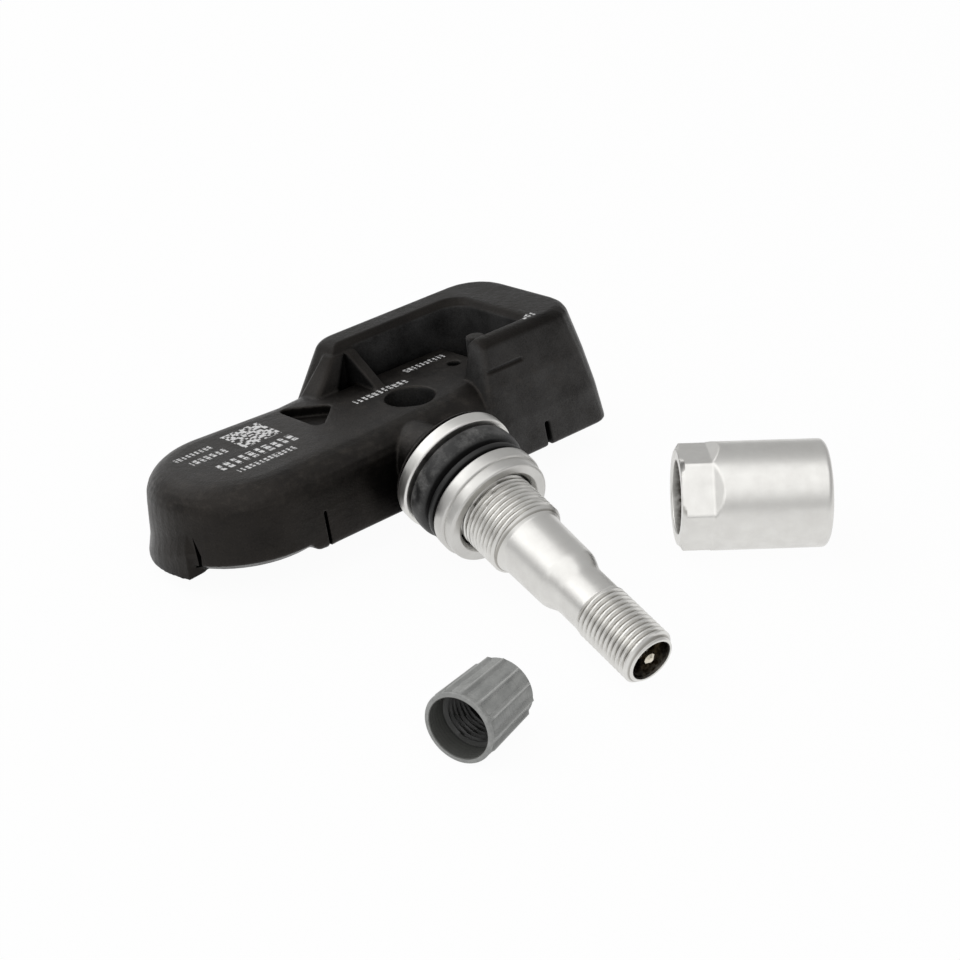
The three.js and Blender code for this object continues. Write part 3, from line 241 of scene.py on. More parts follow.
def basis(origin, axis, side):
    """The matrix of a piece's own frame in millimetres: +Z along axis, +X towards side."""
    z = Vector(axis).normalized()
    x = Vector(side)
    x = (x - z * x.dot(z)).normalized()
    y = z.cross(x)
    m = Matrix((x, y, z)).transposed().to_4x4()
    m.translation = origin
    return m @ Matrix.Scale(MM, 4)


mounts = {m["name"]: m for m in frame["record"]["mounts"]}
joints = {j["name"]: j for j in frame["joints"]}
boxes = {o["name"]: o["box_m"] for o in frame["record"]["physics"]["openings"]}


def centre(low, high):
    return (Vector(low) + Vector(high)) / 2


def casing_frame():
    base = mounts["base_face"]
    up = -Vector(base["axis"])
    side = Vector((1, 0, 0))
    across = up.cross(side).normalized()
    origin = Vector(base["pos_m"]) - (side * BASE_SPOT[0] + across * BASE_SPOT[1]) * MM
    return basis(origin, up, side)


def stem_frame():
    axis = Vector(joints["core_travel"]["axis"])
    origin = Vector(joints["core_turn"]["pos_m"]) - axis * HEAD_SEAT * MM
    return basis(origin, axis, (1, 0, 0))


def axis_frame(first, second, station):
    """The frame of a turned piece whose axis runs through two points, the first of them at a station."""
    axis = (second - first).normalized()
    return basis(first - axis * station * MM, axis, (0, 0, -1))


CASE = casing_frame()
STEM = stem_frame()
NUT_FRAME = axis_frame(centre(*boxes["nut_bore_hex_end"]), centre(*boxes["nut_bore_plain_end"]), NUT_STATION)
CAP_FRAME = axis_frame(centre(*boxes["cap_mouth"]), centre(*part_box("cap_seal")), CAP_STATION)


# Node materials

# Places of the colours among a Mix node's inputs and outputs
MIX_A = 6
MIX_B = 7
MIX_RESULT = 2


class Look:
    """A principled material whose nodes are made by calls."""

    def __init__(self, name):
        self.material = bpy.data.materials.new(name)
        self.material.use_nodes = True
        self.tree = self.material.node_tree
        self.shader = self.tree.nodes["Principled BSDF"]

    def node(self, kind, inputs=None, **settings):
        made = self.tree.nodes.new(kind)
        for key, value in settings.items():
            setattr(made, key, value)
        for key, value in (inputs or {}).items():
            self.feed(made.inputs[key], value)
        return made

    def feed(self, socket, value):
        if isinstance(value, bpy.types.NodeSocket):
            self.tree.links.new(value, socket)
        else:
            socket.default_value = value

    def set(self, **values):
        for key, value in values.items():
            self.feed(self.shader.inputs[key.replace("_", " ")], value)

    def local(self):
        """The piece's own frame, in millimetres."""
        return self.node("ShaderNodeAttribute", attribute_name="local").outputs["Vector"]

    def place(self):
        """The object's coordinates in millimetres, for pieces that keep their CAD mesh."""
        inputs = {0: self.node("ShaderNodeTexCoord").outputs["Object"], "Scale": 1 / MM}
        return self.node("ShaderNodeVectorMath", inputs, operation="SCALE").outputs[0]

    def scaled(self, vector, factors):
        return self.node("ShaderNodeVectorMath", {0: vector, 1: factors}, operation="MULTIPLY").outputs[0]

    def parts(self, vector):
        return self.node("ShaderNodeSeparateXYZ", {0: vector}).outputs[:]

    def join(self, x, y, z):
        return self.node("ShaderNodeCombineXYZ", {0: x, 1: y, 2: z}).outputs[0]

    def radius(self, x, y):
        """The distance from the piece's axis."""
        flat = self.join(x, y, 0.0)
        return self.node("ShaderNodeVectorMath", {0: flat}, operation="LENGTH").outputs["Value"]

    def math(self, operation, a, b=0.0, clamp=False):
        return self.node("ShaderNodeMath", {0: a, 1: b}, operation=operation, use_clamp=clamp).outputs[0]

    def product(self, first, *others):
        result = first
        for value in others:
            result = self.math("MULTIPLY", result, value)
        return result

    def remainder(self, value):
        """What is missing to 1."""
        return self.math("SUBTRACT", 1.0, value)

    def noise(self, vector, scale, detail=3.0, roughness=0.55):
        inputs = {"Vector": vector, "Scale": scale, "Detail": detail, "Roughness": roughness}
        return self.node("ShaderNodeTexNoise", inputs).outputs["Fac"]

    def chance(self, vector):
        return self.node("ShaderNodeTexWhiteNoise", {"Vector": vector}).outputs["Value"]

    def band(self, value, low, high, to_low=0.0, to_high=1.0):
        inputs = {"Value": value, "From Min": low, "From Max": high, "To Min": to_low, "To Max": to_high}
        return self.node("ShaderNodeMapRange", inputs).outputs["Result"]

    def mix(self, factor, a, b):
        made = self.node("ShaderNodeMix", data_type="RGBA")
        self.feed(made.inputs["Factor"], factor)
        self.feed(made.inputs[MIX_A], a)
        self.feed(made.inputs[MIX_B], b)
        return made.outputs[MIX_RESULT]

    def bump(self, height, depth, strength=1.0, under=None):
        inputs = {"Height": height, "Distance": depth * MM, "Strength": strength}
        if under is not None:
            inputs["Normal"] = under
        return self.node("ShaderNodeBump", inputs).outputs["Normal"]

    def inside(self, value, middle, half):
        """1 where value lies within half of middle."""
        away = self.math("ABSOLUTE", self.math("SUBTRACT", value, middle))
        return self.math("LESS_THAN", away, half)


def grey(value, tint=(1, 1, 1)):
    return tuple(value * t for t in tint) + (1,)


def strokes(look, x, y, line):
    """Short upright bars of uneven width with gaps, inside one line's place."""
    middle_x, middle_y, half_x, half_y, step = line
    column = look.math("DIVIDE", x, step)
    chance = look.chance(look.join(look.math("FLOOR", column), middle_y, 0.0))
    width = look.band(chance, 0.0, 1.0, *STROKE["widths"])
    away = look.math("ABSOLUTE", look.math("SUBTRACT", look.math("FRACT", column), MIDDLE))
    bar = look.math("LESS_THAN", away, width)
    rows = look.math("FRACT", look.math("DIVIDE", look.math("ADD", y, chance), half_y))
    cut = look.inside(rows, MIDDLE, STROKE["cut"])
    within = look.product(look.inside(x, middle_x, half_x), look.inside(y, middle_y, half_y))
    return look.product(within, look.product(bar, look.remainder(cut)))


def code_block(look, x, y):
    """A square of light and dark cells in no order."""
    middle_x, middle_y, half_x, half_y, step = CODE
    column = look.math("FLOOR", look.math("DIVIDE", x, step))
    row = look.math("FLOOR", look.math("DIVIDE", y, step))
    light = look.math("LESS_THAN", look.chance(look.join(column, row, 0.0)), CODE_SHARE)
    return look.product(look.inside(x, middle_x, half_x), look.inside(y, middle_y, half_y), light)


def printed(look, local, normal_up):
    """How far the worn print covers a spot: the lower lines lie level on the ledge, one line on the block."""
    x, y, z = look.parts(local)
    low_marks = code_block(look, x, y)
    for line in LINES:
        low_marks = look.math("MAXIMUM", low_marks, strokes(look, x, y, line))
    on_ledge = look.inside(z, PRINT_HEIGHTS["ledge"], PRINT_HEIGHTS["ledge_half"])
    low_marks = look.product(low_marks, on_ledge, look.band(normal_up, *PRINT["level"]))
    high_marks = look.product(strokes(look, x, y, HIGH_LINE), look.band(z, *PRINT_HEIGHTS["block"]))
    marks = look.math("MAXIMUM", low_marks, high_marks)
    worn = look.band(look.noise(local, *PRINT["wear"]), *PRINT["worn"])
    return look.product(marks, worn, PRINT["share"])


def dust(look, local, z):
    """How far dust covers the walls, in patches between two heights."""
    patches = look.band(look.noise(look.scaled(local, DUST["squash"]), *DUST["noise"]), *DUST["patches"])
    height = look.product(*[look.band(z, *heights) for heights in DUST_HEIGHTS])
    return look.product(patches, height, DUST["share"])


def slit(look, x, y, z):
    """Painted shade in the narrow slit in the side of the round wall."""
    narrow = look.inside(x, SLIT["middle"], SLIT["half"])
    shallow = look.math("LESS_THAN", y, SLIT["depth"])
    return look.product(narrow, shallow, look.math("LESS_THAN", z, SLIT["height"]))


def notch(look, x, y, z):
    """Painted shade: the dark wedge between the skirt's end and the round wall behind it."""
    middle = look.band(z, NOTCH["foot"], NOTCH["top"], NOTCH["middle"], NOTCH["tip"])
    half = look.band(z, NOTCH["foot"], NOTCH["top"], NOTCH["half"], 0)
    away = look.math("ABSOLUTE", look.math("SUBTRACT", x, middle))
    within = look.product(look.math("LESS_THAN", away, half), look.inside(y, NOTCH["across"], NOTCH["reach"]))
    return look.product(within, look.math("GREATER_THAN", z, NOTCH["foot"]))


def casing_look():
    look = Look("glass_filled_nylon")
    local = look.local()
    x, y, z = look.parts(local)
    normal_up = look.parts(look.node("ShaderNodeNewGeometry").outputs["Normal"])[2]
    clouds = look.noise(local, *CASE_CLOUDS)
    speckle = look.noise(local, *CASE_SPECKLE)
    softer = look.product(clouds, CLOUD_SHARE)
    shade = look.math("ADD", softer, look.product(speckle, SPECKLE_SHARE), clamp=True)
    plain = look.mix(look.band(shade, *CASE_SHADE), grey(CASE_DARK), grey(CASE_LIGHT, WARM))
    # Painted light: the steep sides of the block are paler
    steep = look.band(normal_up, *BLOCK["steep"])
    block_dark, block_light = grey(CASE_DARK * BLOCK["dark"]), grey(CASE_LIGHT * BLOCK["light"])
    block_painted_light = look.mix(look.band(shade, *EVEN), block_dark, block_light)
    plain = look.mix(look.product(look.band(x, *BLOCK["along"]), steep), plain, block_painted_light)
    dusted = look.mix(dust(look, local, z), plain, grey(DUST["colour"], WARM))
    coloured = look.mix(printed(look, local, normal_up), dusted, grey(PRINT["colour"]))
    # Painted shade: nearly black in the slit, in the notch and wherever ambient occlusion finds narrow places,
    # which also lose their shine
    dark = look.math("MAXIMUM", slit(look, x, y, z), notch(look, x, y, z))
    reach = {"Distance": CREVICE["distance"] * MM}
    narrow = look.node("ShaderNodeAmbientOcclusion", reach, samples=CREVICE["samples"])
    open_air = look.math("POWER", narrow.outputs["AO"], CREVICE["power"])
    painted_shade = look.math("MAXIMUM", dark, look.remainder(open_air))
    look.set(Base_Color=look.mix(painted_shade, coloured, grey(SHADE_COLOUR)))
    look.set(Roughness=look.band(clouds, *EVEN, *CASE_ROUGH), Specular_Tint=grey(1, CASE_TINT))
    block_top = look.product(look.band(z, *BLOCK["top"]), look.remainder(steep))
    shine = look.band(dark, 0, 1, CASE_SHINE, 0)
    dulled = look.band(block_top, 0, 1, 1, BLOCK["top_shine"])
    look.set(Specular_IOR_Level=look.product(shine, dulled, open_air))
    grain = look.bump(look.noise(local, *CASE_GRAIN["noise"]), CASE_GRAIN["depth"])
    look.set(Normal=look.bump(look.noise(local, *CASE_SWELL["noise"]), CASE_SWELL["depth"], 1.0, grain))
    return look.material


def thread_root_darkening(look, radius, z, thread):
    """How far the root of a thread is darker."""
    depth = THREAD_DEPTH * thread["pitch"]
    along = look.inside(z, (thread["start"] + thread["end"]) / 2, (thread["end"] - thread["start"]) / 2)
    crest = thread["crest"]
    below = look.band(radius, crest - depth * ROOTS["upper"], crest - depth * ROOTS["lower"])
    outer = look.math("GREATER_THAN", radius, crest - depth * ROOTS["below"])
    return look.product(look.product(along, outer), look.product(below, ROOTS["share"]))


def shaded_hollow(look, local, radius, z, shade):
    """How far painted shade, mottled by noise, covers a hollow; shade is its radius and the stations where it
    starts and is full.
    """
    hollow = look.product(look.math("LESS_THAN", radius, shade[0]), look.band(z, shade[1], shade[2]))
    return look.product(hollow, look.band(look.noise(local, *METAL_HOLLOW_SHADE["noise"]), *METAL_HOLLOW_SHADE["band"]))


def turned_metal(name, colour, roughness, ring_scale, mottle, shade=None, threads=()):
    """Lathe-turned metal: fine rings about the axis, faint clouds, painted shade in a hollow and threads darker in
    their roots.
    """
    look = Look(name)
    local = look.local()
    x, y, z = look.parts(local)
    radius = look.radius(x, y)
    rings = look.noise(look.scaled(look.join(radius, z, 0.0), (ring_scale, ring_scale, 1)), *TURNING["noise"])
    clouds = look.noise(local, *METAL["clouds"])
    bright = grey(colour, METAL["tint"])
    dull = grey(colour * METAL["dull"], METAL["dull_tint"])
    plain = look.mix(look.band(clouds, *EVEN), bright, dull)
    # Painted shade in the hollow, mottled by noise
    if shade:
        hollow_shade = shaded_hollow(look, local, radius, z, shade)
        plain = look.mix(hollow_shade, plain, grey(METAL_HOLLOW_SHADE["colour"], METAL_HOLLOW_SHADE["tint"]))
    for thread in threads:
        plain = look.mix(thread_root_darkening(look, radius, z, thread), plain, grey(ROOTS["colour"], ROOTS["tint"]))
    turned = look.band(rings, *EVEN, roughness - TURNING["spread"], roughness + TURNING["spread"])
    look.set(Base_Color=plain, Metallic=1.0)
    look.set(Roughness=look.math("ADD", turned, look.band(clouds, *EVEN, -mottle, mottle)))
    look.set(Normal=look.bump(rings, TURNING["depth"]))
    return look.material


def rubber_look():
    look = Look("dusty_rubber")
    local = look.local()
    z = look.parts(local)[2]
    lobe_end = GROMMET["seat"] + GROMMET["back"]
    back = look.band(z, lobe_end, lobe_end - RUBBER_DUST["start"])
    patches = look.band(look.noise(local, *RUBBER_PATCHES["noise"]), *RUBBER_PATCHES["band"])
    powder = look.band(look.noise(local, *RUBBER_POWDER["noise"]), *RUBBER_POWDER["band"])
    dusty = look.product(look.product(patches, back), look.product(powder, RUBBER_DUST["share"]))
    dust_colour = grey(RUBBER_DUST["colour"], RUBBER_DUST["tint"])
    look.set(Base_Color=look.mix(dusty, grey(RUBBER_COLOUR), dust_colour))
    look.set(Roughness=look.band(dusty, *RUBBER_DUST["rough"]), Specular_IOR_Level=RUBBER_SHINE)
    look.set(Normal=look.bump(look.noise(local, *RUBBER_GRAIN["noise"]), RUBBER_GRAIN["depth"]))
    return look.material


def cap_look():
    """Grey plastic with a painted highlight on the rib crests and painted shade in the hollow."""
    look = Look("grey_moulded_plastic")
    local = look.local()
    x, y, z = look.parts(local)
    radius = look.radius(x, y)
    clouds = look.noise(look.scaled(local, CAP_SKIN["squash"]), *CAP_SKIN["clouds"])
    flared = look.math("ADD", radius, look.product(z, CAP_LEAN / 2))
    past_bore = look.band(flared, *[CAP["bore"] + step for step in CAP_PLACES["outside"]])
    closed_end = look.math("GREATER_THAN", z, CAP["depth"] - CAP_PLACES["closed"])
    outside = look.math("MAXIMUM", past_bore, closed_end)
    # Painted highlight: the rib crests are paler
    straightened = look.math("ADD", radius, look.product(z, CAP_LEAN))
    crest = look.band(straightened, *[CAP["radius"] + step for step in CAP_PLACES["crest"]])
    dark = grey(CAP_COLOURS["dark"], CAP_COLOURS["dark_tint"])
    light = grey(CAP_COLOURS["light"], CAP_COLOURS["light_tint"])
    plain = look.mix(look.band(clouds, *EVEN), dark, light)
    plain = look.mix(crest, plain, grey(CAP_COLOURS["crest"], CAP_COLOURS["light_tint"]))
    # Painted shade in the hollow, darker deeper in
    depth = look.band(z, *[CAP["mouth"] + step for step in CAP_PLACES["hollow"]])
    near = grey(CAP_HOLLOW_SHADE["mouth"], CAP_HOLLOW_SHADE["mouth_tint"])
    deep = grey(CAP_HOLLOW_SHADE["deep"], CAP_HOLLOW_SHADE["deep_tint"])
    look.set(Base_Color=look.mix(outside, look.mix(depth, near, deep), plain))
    look.set(Roughness=look.band(clouds, *EVEN, *CAP_SKIN["rough"]))
    waves = look.math("SINE", look.product(z, CAP_WAVES["rate"]))
    grain = look.bump(look.noise(local, *CAP_GRAIN["noise"]), CAP_GRAIN["depth"])
    look.set(Normal=look.bump(waves, CAP_WAVES["depth"], CAP_WAVES["strength"], grain))
    return look.material


def plain_look(name, dark, light, rough, metallic=0.0, scale=1.5, grain=0.01):
    """A simple material with clouds in its colour and roughness and a fine grain."""
    look = Look(name)
    place = look.place()
    clouds = look.noise(place, scale, PLAIN["detail"])
    look.set(Base_Color=look.mix(look.band(clouds, *EVEN), (*dark, 1), (*light, 1)))
    look.set(Roughness=look.band(clouds, *EVEN, rough - PLAIN["spread"], rough + PLAIN["spread"]))
    look.set(Metallic=metallic)
    look.set(Normal=look.bump(look.noise(place, scale * PLAIN["grain_rate"], PLAIN["grain_detail"]), grain))
    return look.material


def board_look():
    """Solder mask over etched tracks."""
    look = Look("solder_mask")
    place = look.place()
    x, y, z = look.parts(place)
    slanted = look.math("ADD", x, look.product(y, BOARD["slant"]))
    lanes = look.math("FRACT", look.product(slanted, BOARD["rate"]))
    track = look.inside(lanes, MIDDLE, BOARD["width"])
    look.set(Base_Color=look.mix(track, BOARD["plain"], BOARD["track"]))
    look.set(Roughness=look.band(look.noise(place, *BOARD_ROUGH["noise"]), *EVEN, *BOARD_ROUGH["spread"]))
    look.set(Normal=look.bump(track, BOARD_RISE))
    return look.material


# Meshes

def piece(name, points, faces, matrix, material, body, replaced):
    """A smooth mesh from points in a piece's own frame, which rides on a body and stands for a node."""
    mesh = bpy.data.meshes.new(name)
    points = np.asarray(points, float)
    world = points @ np.array(matrix.to_3x3()).T + np.array(matrix.translation)
    mesh.from_pydata(world.tolist(), [], faces)
    finish_mesh(mesh, points)
    return dressed(name, mesh, material, body, replaced)


def finish_mesh(mesh, points):
    """Keep the points of the piece's own frame for the looks, and shade the mesh smoothly."""
    attribute = mesh.attributes.new("local", "FLOAT_VECTOR", "POINT")
    attribute.data.foreach_set("vector", np.asarray(points, np.float32).ravel())
    mesh.polygons.foreach_set("use_smooth", np.ones(len(mesh.polygons), bool))
    mesh.set_sharp_from_angle(angle=SHARP)
    mesh.update()


def dressed(name, mesh, material, body, replaced):
    made = bpy.data.objects.new(name, mesh)
    bpy.context.scene.collection.objects.link(made)
    mesh.materials.append(material)
    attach(made, body)
    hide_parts(*replaced)
    return made


def rounded(profile):
    """A closed profile of (radius, station, rounding) corners with arcs at its corners."""
    points = []
    count = len(profile)
    for i, (r, z, rounding) in enumerate(profile):
        here = np.array((r, z), float)
        before = np.array(profile[i - 1][:2], float) - here
        after = np.array(profile[(i + 1) % count][:2], float) - here
        if rounding <= 0:
            points.append(tuple(here))
            continue
        a = before / np.linalg.norm(before)
        b = after / np.linalg.norm(after)
        reach = min(rounding, np.linalg.norm(before) * LEG_SHARE, np.linalg.norm(after) * LEG_SHARE)
        for step in range(ARC_STEPS + 1):
            t = step / ARC_STEPS
            points.append(tuple(here + a * reach * (1 - t) ** 2 + b * reach * t ** 2))
    return points


def spread(points, longest):
    """The same line with no step longer than a length."""
    result = []
    for start, end in zip(points, points[1:]):
        parts = max(1, math.ceil(math.dist(start, end) / longest))
        leg = np.array(end) - np.array(start)
        result += [tuple(np.array(start) + leg * k / parts) for k in range(parts)]
    return result + [points[-1]]


def rings(line, radius_at=None, sides=FINE):
    """Rows of points about Z along a line of (radius, station); radius_at can change a point's radius."""
    angle = 2 * math.pi * np.arange(sides) / sides
    rows = []
    for r, z in line:
        radius = np.full(sides, r) if radius_at is None else radius_at(r, z, angle)
        rows.append(np.stack([radius * np.cos(angle), radius * np.sin(angle), np.full(sides, z)], 1))
    return rows


def skin(rows, loop):
    """Points and faces over rows; a loop joins its last row to its first, else fans close both ends."""
    sides = len(rows[0])
    points = np.concatenate(rows)
    faces = []
    for row in range(len(rows) if loop else len(rows) - 1):
        a, b = row * sides, ((row + 1) % len(rows)) * sides
        for i in range(sides):
            j = (i + 1) % sides
            faces.append((a + i, a + j, b + j, b + i))
    if not loop:
        hub = len(points)
        points = np.vstack([points, rows[0].mean(0), rows[-1].mean(0)])
        last = (len(rows) - 1) * sides
        for i in range(sides):
            j = (i + 1) % sides
            faces.append((hub, j, i))
            faces.append((hub + 1, last + i, last + j))
    return points, faces


def thread_cut(z, angle, thread):
    """How deep the V groove of a thread is at a station and angle."""
    pitch = thread["pitch"]
    share = np.mod((z - thread["start"]) / pitch - angle / (2 * math.pi), 1.0)
    ridge = np.abs(2 * share - 1)
    depth = np.clip((ridge - CREST_SHARE) / SLOPE_SHARE, 0, 1)
    return depth * THREAD_DEPTH * pitch


# Pieces

def evaluated_mesh(work):
    return bpy.data.meshes.new_from_object(work.evaluated_get(bpy.context.evaluated_depsgraph_get()))


def in_casing(mesh):
    """The mesh's points in the casing's own frame, in millimetres."""
    points = np.zeros(len(mesh.vertices) * 3)
    mesh.vertices.foreach_get("co", points)
    inverse = CASE.inverted()
    return points.reshape(-1, 3) @ np.array(inverse.to_3x3()).T + np.array(inverse.translation)


def remeshed(work):
    """The work object's solid in fine even faces."""
    remesh = work.modifiers.new("remesh", "REMESH")
    remesh.mode = "VOXEL"
    remesh.voxel_size = VOXEL * MM
    mesh = evaluated_mesh(work)
    work.modifiers.clear()
    return mesh


def softened_casing():
    """The casing's solid with its edges rounded as a moulding's are, but for the crisp places."""
    work = bpy.data.objects.new("work", frame["nodes"]["casing"].data.copy())
    bpy.context.scene.collection.objects.link(work)
    work.data = remeshed(work)
    local = in_casing(work.data)
    crisp = np.zeros(len(local), bool)
    for low, high in CRISP:
        crisp |= ((local > low) & (local < high)).all(1)
    soft = work.vertex_groups.new(name="soft")
    soft.add(np.flatnonzero(~crisp).tolist(), 1.0, "REPLACE")
    smooth = work.modifiers.new("smooth", "SMOOTH")
    smooth.factor = SOFTENING_SHARE
    smooth.iterations = SOFTENING
    smooth.vertex_group = soft.name
    mesh = evaluated_mesh(work)
    bpy.data.objects.remove(work)
    mesh.name = "casing_shell"
    mesh.materials.clear()
    finish_mesh(mesh, in_casing(mesh))
    return dressed("casing_shell", mesh, casing_look(), "sensor", ["casing"])


def stem_radius(r, z, angle):
    """The stem's outside with both threads cut in, also in the chamfer of its tip."""
    radius = np.full(len(angle), float(r))
    in_tip = z > CAP_THREAD["end"] - 2 * TIP_CHAMFER and r > MOUTH[0] + MOUTH_LIP
    for thread in (CLAMP_THREAD, CAP_THREAD):
        if abs(r - thread["crest"]) < SAME or (thread is CAP_THREAD and in_tip):
            radius = np.minimum(radius, thread["crest"] - thread_cut(z, angle, thread))
    return radius


def stem_outline():
    clamp, cap, soft = CLAMP_THREAD, CAP_THREAD, STEM_ROUND
    mouth_floor = STEM_LENGTH - MOUTH[1]
    return rounded([
        (PASSAGE_RADIUS, -TAIL[1], soft["passage"]),
        (TAIL[0], -TAIL[1], soft["tail"]),
        (TAIL[0], 0, 0),
        (FLANGE[0], 0, soft["flange"]),
        (FLANGE[0], FLANGE[1], soft["flange"]),
        (NECK_RADIUS, FLANGE[1], 0),
        (NECK_RADIUS, clamp["start"], 0),
        (clamp["crest"], clamp["start"] + clamp["lead_in"], 0),
        (clamp["crest"], clamp["end"] - clamp["lead_out"], 0),
        (UPPER_SHANK[0], clamp["end"], soft["upper"]),
        (UPPER_SHANK[1], UPPER_SHANK[2], soft["shoulder"]),
        (LOWER_SHANK[0], LOWER_SHANK[1], soft["shoulder"]),
        (LOWER_SHANK[0], cap["start"], soft["neck"]),
        (cap["crest"], cap["start"] + cap["lead_in"], 0),
        (cap["crest"], STEM_LENGTH - TIP_CHAMFER, 0),
        (cap["crest"] - TIP_CHAMFER, STEM_LENGTH, soft["tip"]),
        (MOUTH[0], STEM_LENGTH, soft["mouth"]),
        (MOUTH[0], mouth_floor, 0),
        (CORE_BORE, mouth_floor - CORE_STEP, 0),
        (CORE_BORE, BORE_STATIONS[2], 0),
        (GASKET_BORE, BORE_STATIONS[1], 0),
        (GASKET_BORE, BORE_STATIONS[0], 0),
        (PASSAGE_RADIUS, BORE_STATIONS[0], 0),
    ])


def stem():
    outline = stem_outline()
    crests = (CLAMP_THREAD["crest"], CAP_THREAD["crest"])
    fine = CAP_THREAD["pitch"] / ROWS_PER_PITCH
    line = []
    for start, end in zip(outline, outline[1:] + outline[:1]):
        threaded = start[0] == end[0] and start[0] in crests
        line += spread([start, end], fine if threaded else STEM_LENGTH)[:-1]
    points, faces = skin(rings(line, stem_radius), True)
    threads = (CLAMP_THREAD, CAP_THREAD)
    metal = turned_metal("turned_aluminium", shade=MOUTH_SHADE, threads=threads, **STEM_METAL)
    return piece("stem_turned", points, faces, STEM, metal, "sensor", ["valve_stem"])


def grommet():
    g, slope, soft = GROMMET, GROMMET_SLOPE, GROMMET_ROUND
    top = g["seat"] + g["length"]
    back = g["seat"] + g["back"]
    front = back + g["groove"]
    line = rounded([
        (g["inner"], g["seat"], 0),
        (g["outer"] - slope["seat"], g["seat"], soft["seat"]),
        (g["outer"], (g["seat"] + back) / 2, soft["lobe"]),
        (g["outer"] - slope["back"], back - slope["back_edge"], soft["back"]),
        (g["neck"], back + slope["neck"], soft["neck_back"]),
        (g["neck"], front - slope["front_edge"], soft["neck_front"]),
        (g["front"], front, soft["front"]),
        (g["front"], top, soft["front"]),
        (g["inner"], top, 0),
    ])
    points, faces = skin(rings(line), True)
    return piece("grommet_moulded", points, faces, STEM, rubber_look(), "sensor", ["grommet"])


def washer():
    w, soft = WASHER, WASHER_ROUND
    step = w["seat"] + w["rim"]
    top = w["seat"] + w["thickness"]
    line = rounded([
        (w["bore"], w["seat"], soft["bore"]),
        (w["outer"], w["seat"], soft["back"]),
        (w["outer"], step, soft["rim"]),
        (w["step"], step + w["step_rise"], 0),
        (w["step"], top, soft["front"]),
        (w["bore"] + w["chamfer"], top, soft["chamfer"]),
        (w["bore"], top - w["chamfer"], soft["chamfer"]),
    ])
    points, faces = skin(rings(line), True)
    metal = turned_metal("washer_aluminium", **WASHER_METAL)
    return piece("washer_turned", points, faces, STEM, metal, "clamp_washer", ["washer"])


def nut_radius(r, z, angle):
    """The nut's outside with its six flats and the ramps behind them, and its thread inside."""
    radius = np.full(len(angle), float(r))
    if r > NUT["end"] - HEX_MARGIN:
        half = math.pi / HEX_SIDES
        away = np.mod(angle - math.radians(HEX_TURN) + half, 2 * half) - half
        rise = max(0.0, z - NUT["flat_end"]) / (NUT["ramp_end"] - NUT["flat_end"])
        flat = NUT["flat"] + (NUT["radius"] - NUT["flat"]) * rise
        radius = np.minimum(radius, flat / np.cos(away))
    elif abs(r - NUT_THREAD["crest"]) < SAME:
        radius = radius - thread_cut(z, angle, NUT_THREAD)
    return radius


def nut():
    n, tap, soft = NUT, NUT_THREAD, NUT_ROUND
    outline = rounded([
        (NUT_BORE, 0, soft["bore"]),
        (n["end"], 0, soft["edge"]),
        (n["radius"], n["chamfer"], soft["edge"]),
        (n["radius"], n["length"] - n["far"], soft["far"]),
        (n["radius"] - n["far"], n["length"], soft["far"]),
        (tap["crest"] + tap["flare"], n["length"], soft["edge"]),
        (tap["crest"], n["length"] - tap["lead_out"], 0),
        (tap["crest"], tap["start"], 0),
        (NUT_BORE, tap["start"] - tap["lead_in"], 0),
    ])
    line = []
    for start, end in zip(outline, outline[1:] + outline[:1]):
        step = n["length"]
        if start[0] == end[0] == tap["crest"]:
            step = tap["pitch"] / ROWS_PER_PITCH
        elif start[0] == end[0] == n["radius"]:
            step = RAMP_STEP
        line += spread([start, end], step)[:-1]
    points, faces = skin(rings(line, nut_radius), True)
    metal = turned_metal("nut_aluminium", shade=NUT_SHADE, **NUT_METAL)
    return piece("sleeve_nut_turned", points, faces, NUT_FRAME, metal, "nut", ["sleeve_nut"])


def cap_radius(r, z, angle):
    """The cap's outside with its ribs, and its thread inside."""
    radius = np.full(len(angle), float(r))
    rib_start = CAP["collar_length"] * RIB["start"]
    if r > CAP["bore"] + RIB["margin"] and z > rib_start:
        turn = np.mod(angle * CAP["ribs"] / (2 * math.pi) + MIDDLE, 1.0)
        valley = np.clip((np.abs(turn - MIDDLE) - RIB["crest"]) / RIB["slope"], 0, 1)
        rise = min(1.0, (z - rib_start) / RIB["rise"])
        radius = radius - CAP["rib"] * RIB["sharpening"] * valley * rise
    elif abs(r - CAP_TAP["crest"]) < SAME:
        radius = radius - thread_cut(z, angle, CAP_TAP)
    return radius


def cap_outline():
    c, tap, soft = CAP, CAP_TAP, CAP_ROUND
    tap_root = tap["crest"] - THREAD_DEPTH * tap["pitch"]
    ribs_start = c["collar_length"] + c["collar_rise"]
    chamfer_start = c["length"] - c["chamfer"][0]
    return rounded([
        (tap_root, c["depth"], 0),
        (tap_root, tap["end"], 0),
        (tap["crest"], tap["end"] - tap["lead_out"], 0),
        (tap["crest"], c["mouth"], 0),
        (c["bore"], c["mouth"] - c["mouth_step"], 0),
        (c["bore"], 0, soft["mouth"]),
        (c["collar"], 0, soft["collar"]),
        (c["collar"], c["collar_length"], soft["ribs"]),
        (c["radius"] - CAP_LEAN * ribs_start, ribs_start, soft["ribs"]),
        (c["radius"] - CAP_LEAN * chamfer_start, chamfer_start, 0),
        (c["end"] - c["chamfer"][1], c["length"], soft["end"]),
        (c["hub"], c["length"], 0),
    ])


def cap():
    outline = cap_outline()
    line = []
    for start, end in zip(outline, outline[1:]):
        threaded = start[0] == end[0] == CAP_TAP["crest"]
        step = CAP_TAP["pitch"] / ROWS_PER_PITCH if threaded else RIB_STEP
        line += spread([start, end], step)[:-1]
    line.append(outline[-1])
    points, faces = skin(rings(line, cap_radius, CAP_FINE), False)
    plastic = cap_look()
    return piece("valve_cap_moulded", points, faces, CAP_FRAME, plastic, "cap", ["valve_cap"])


softened_casing()
stem()
grommet()
washer()
nut()
cap()

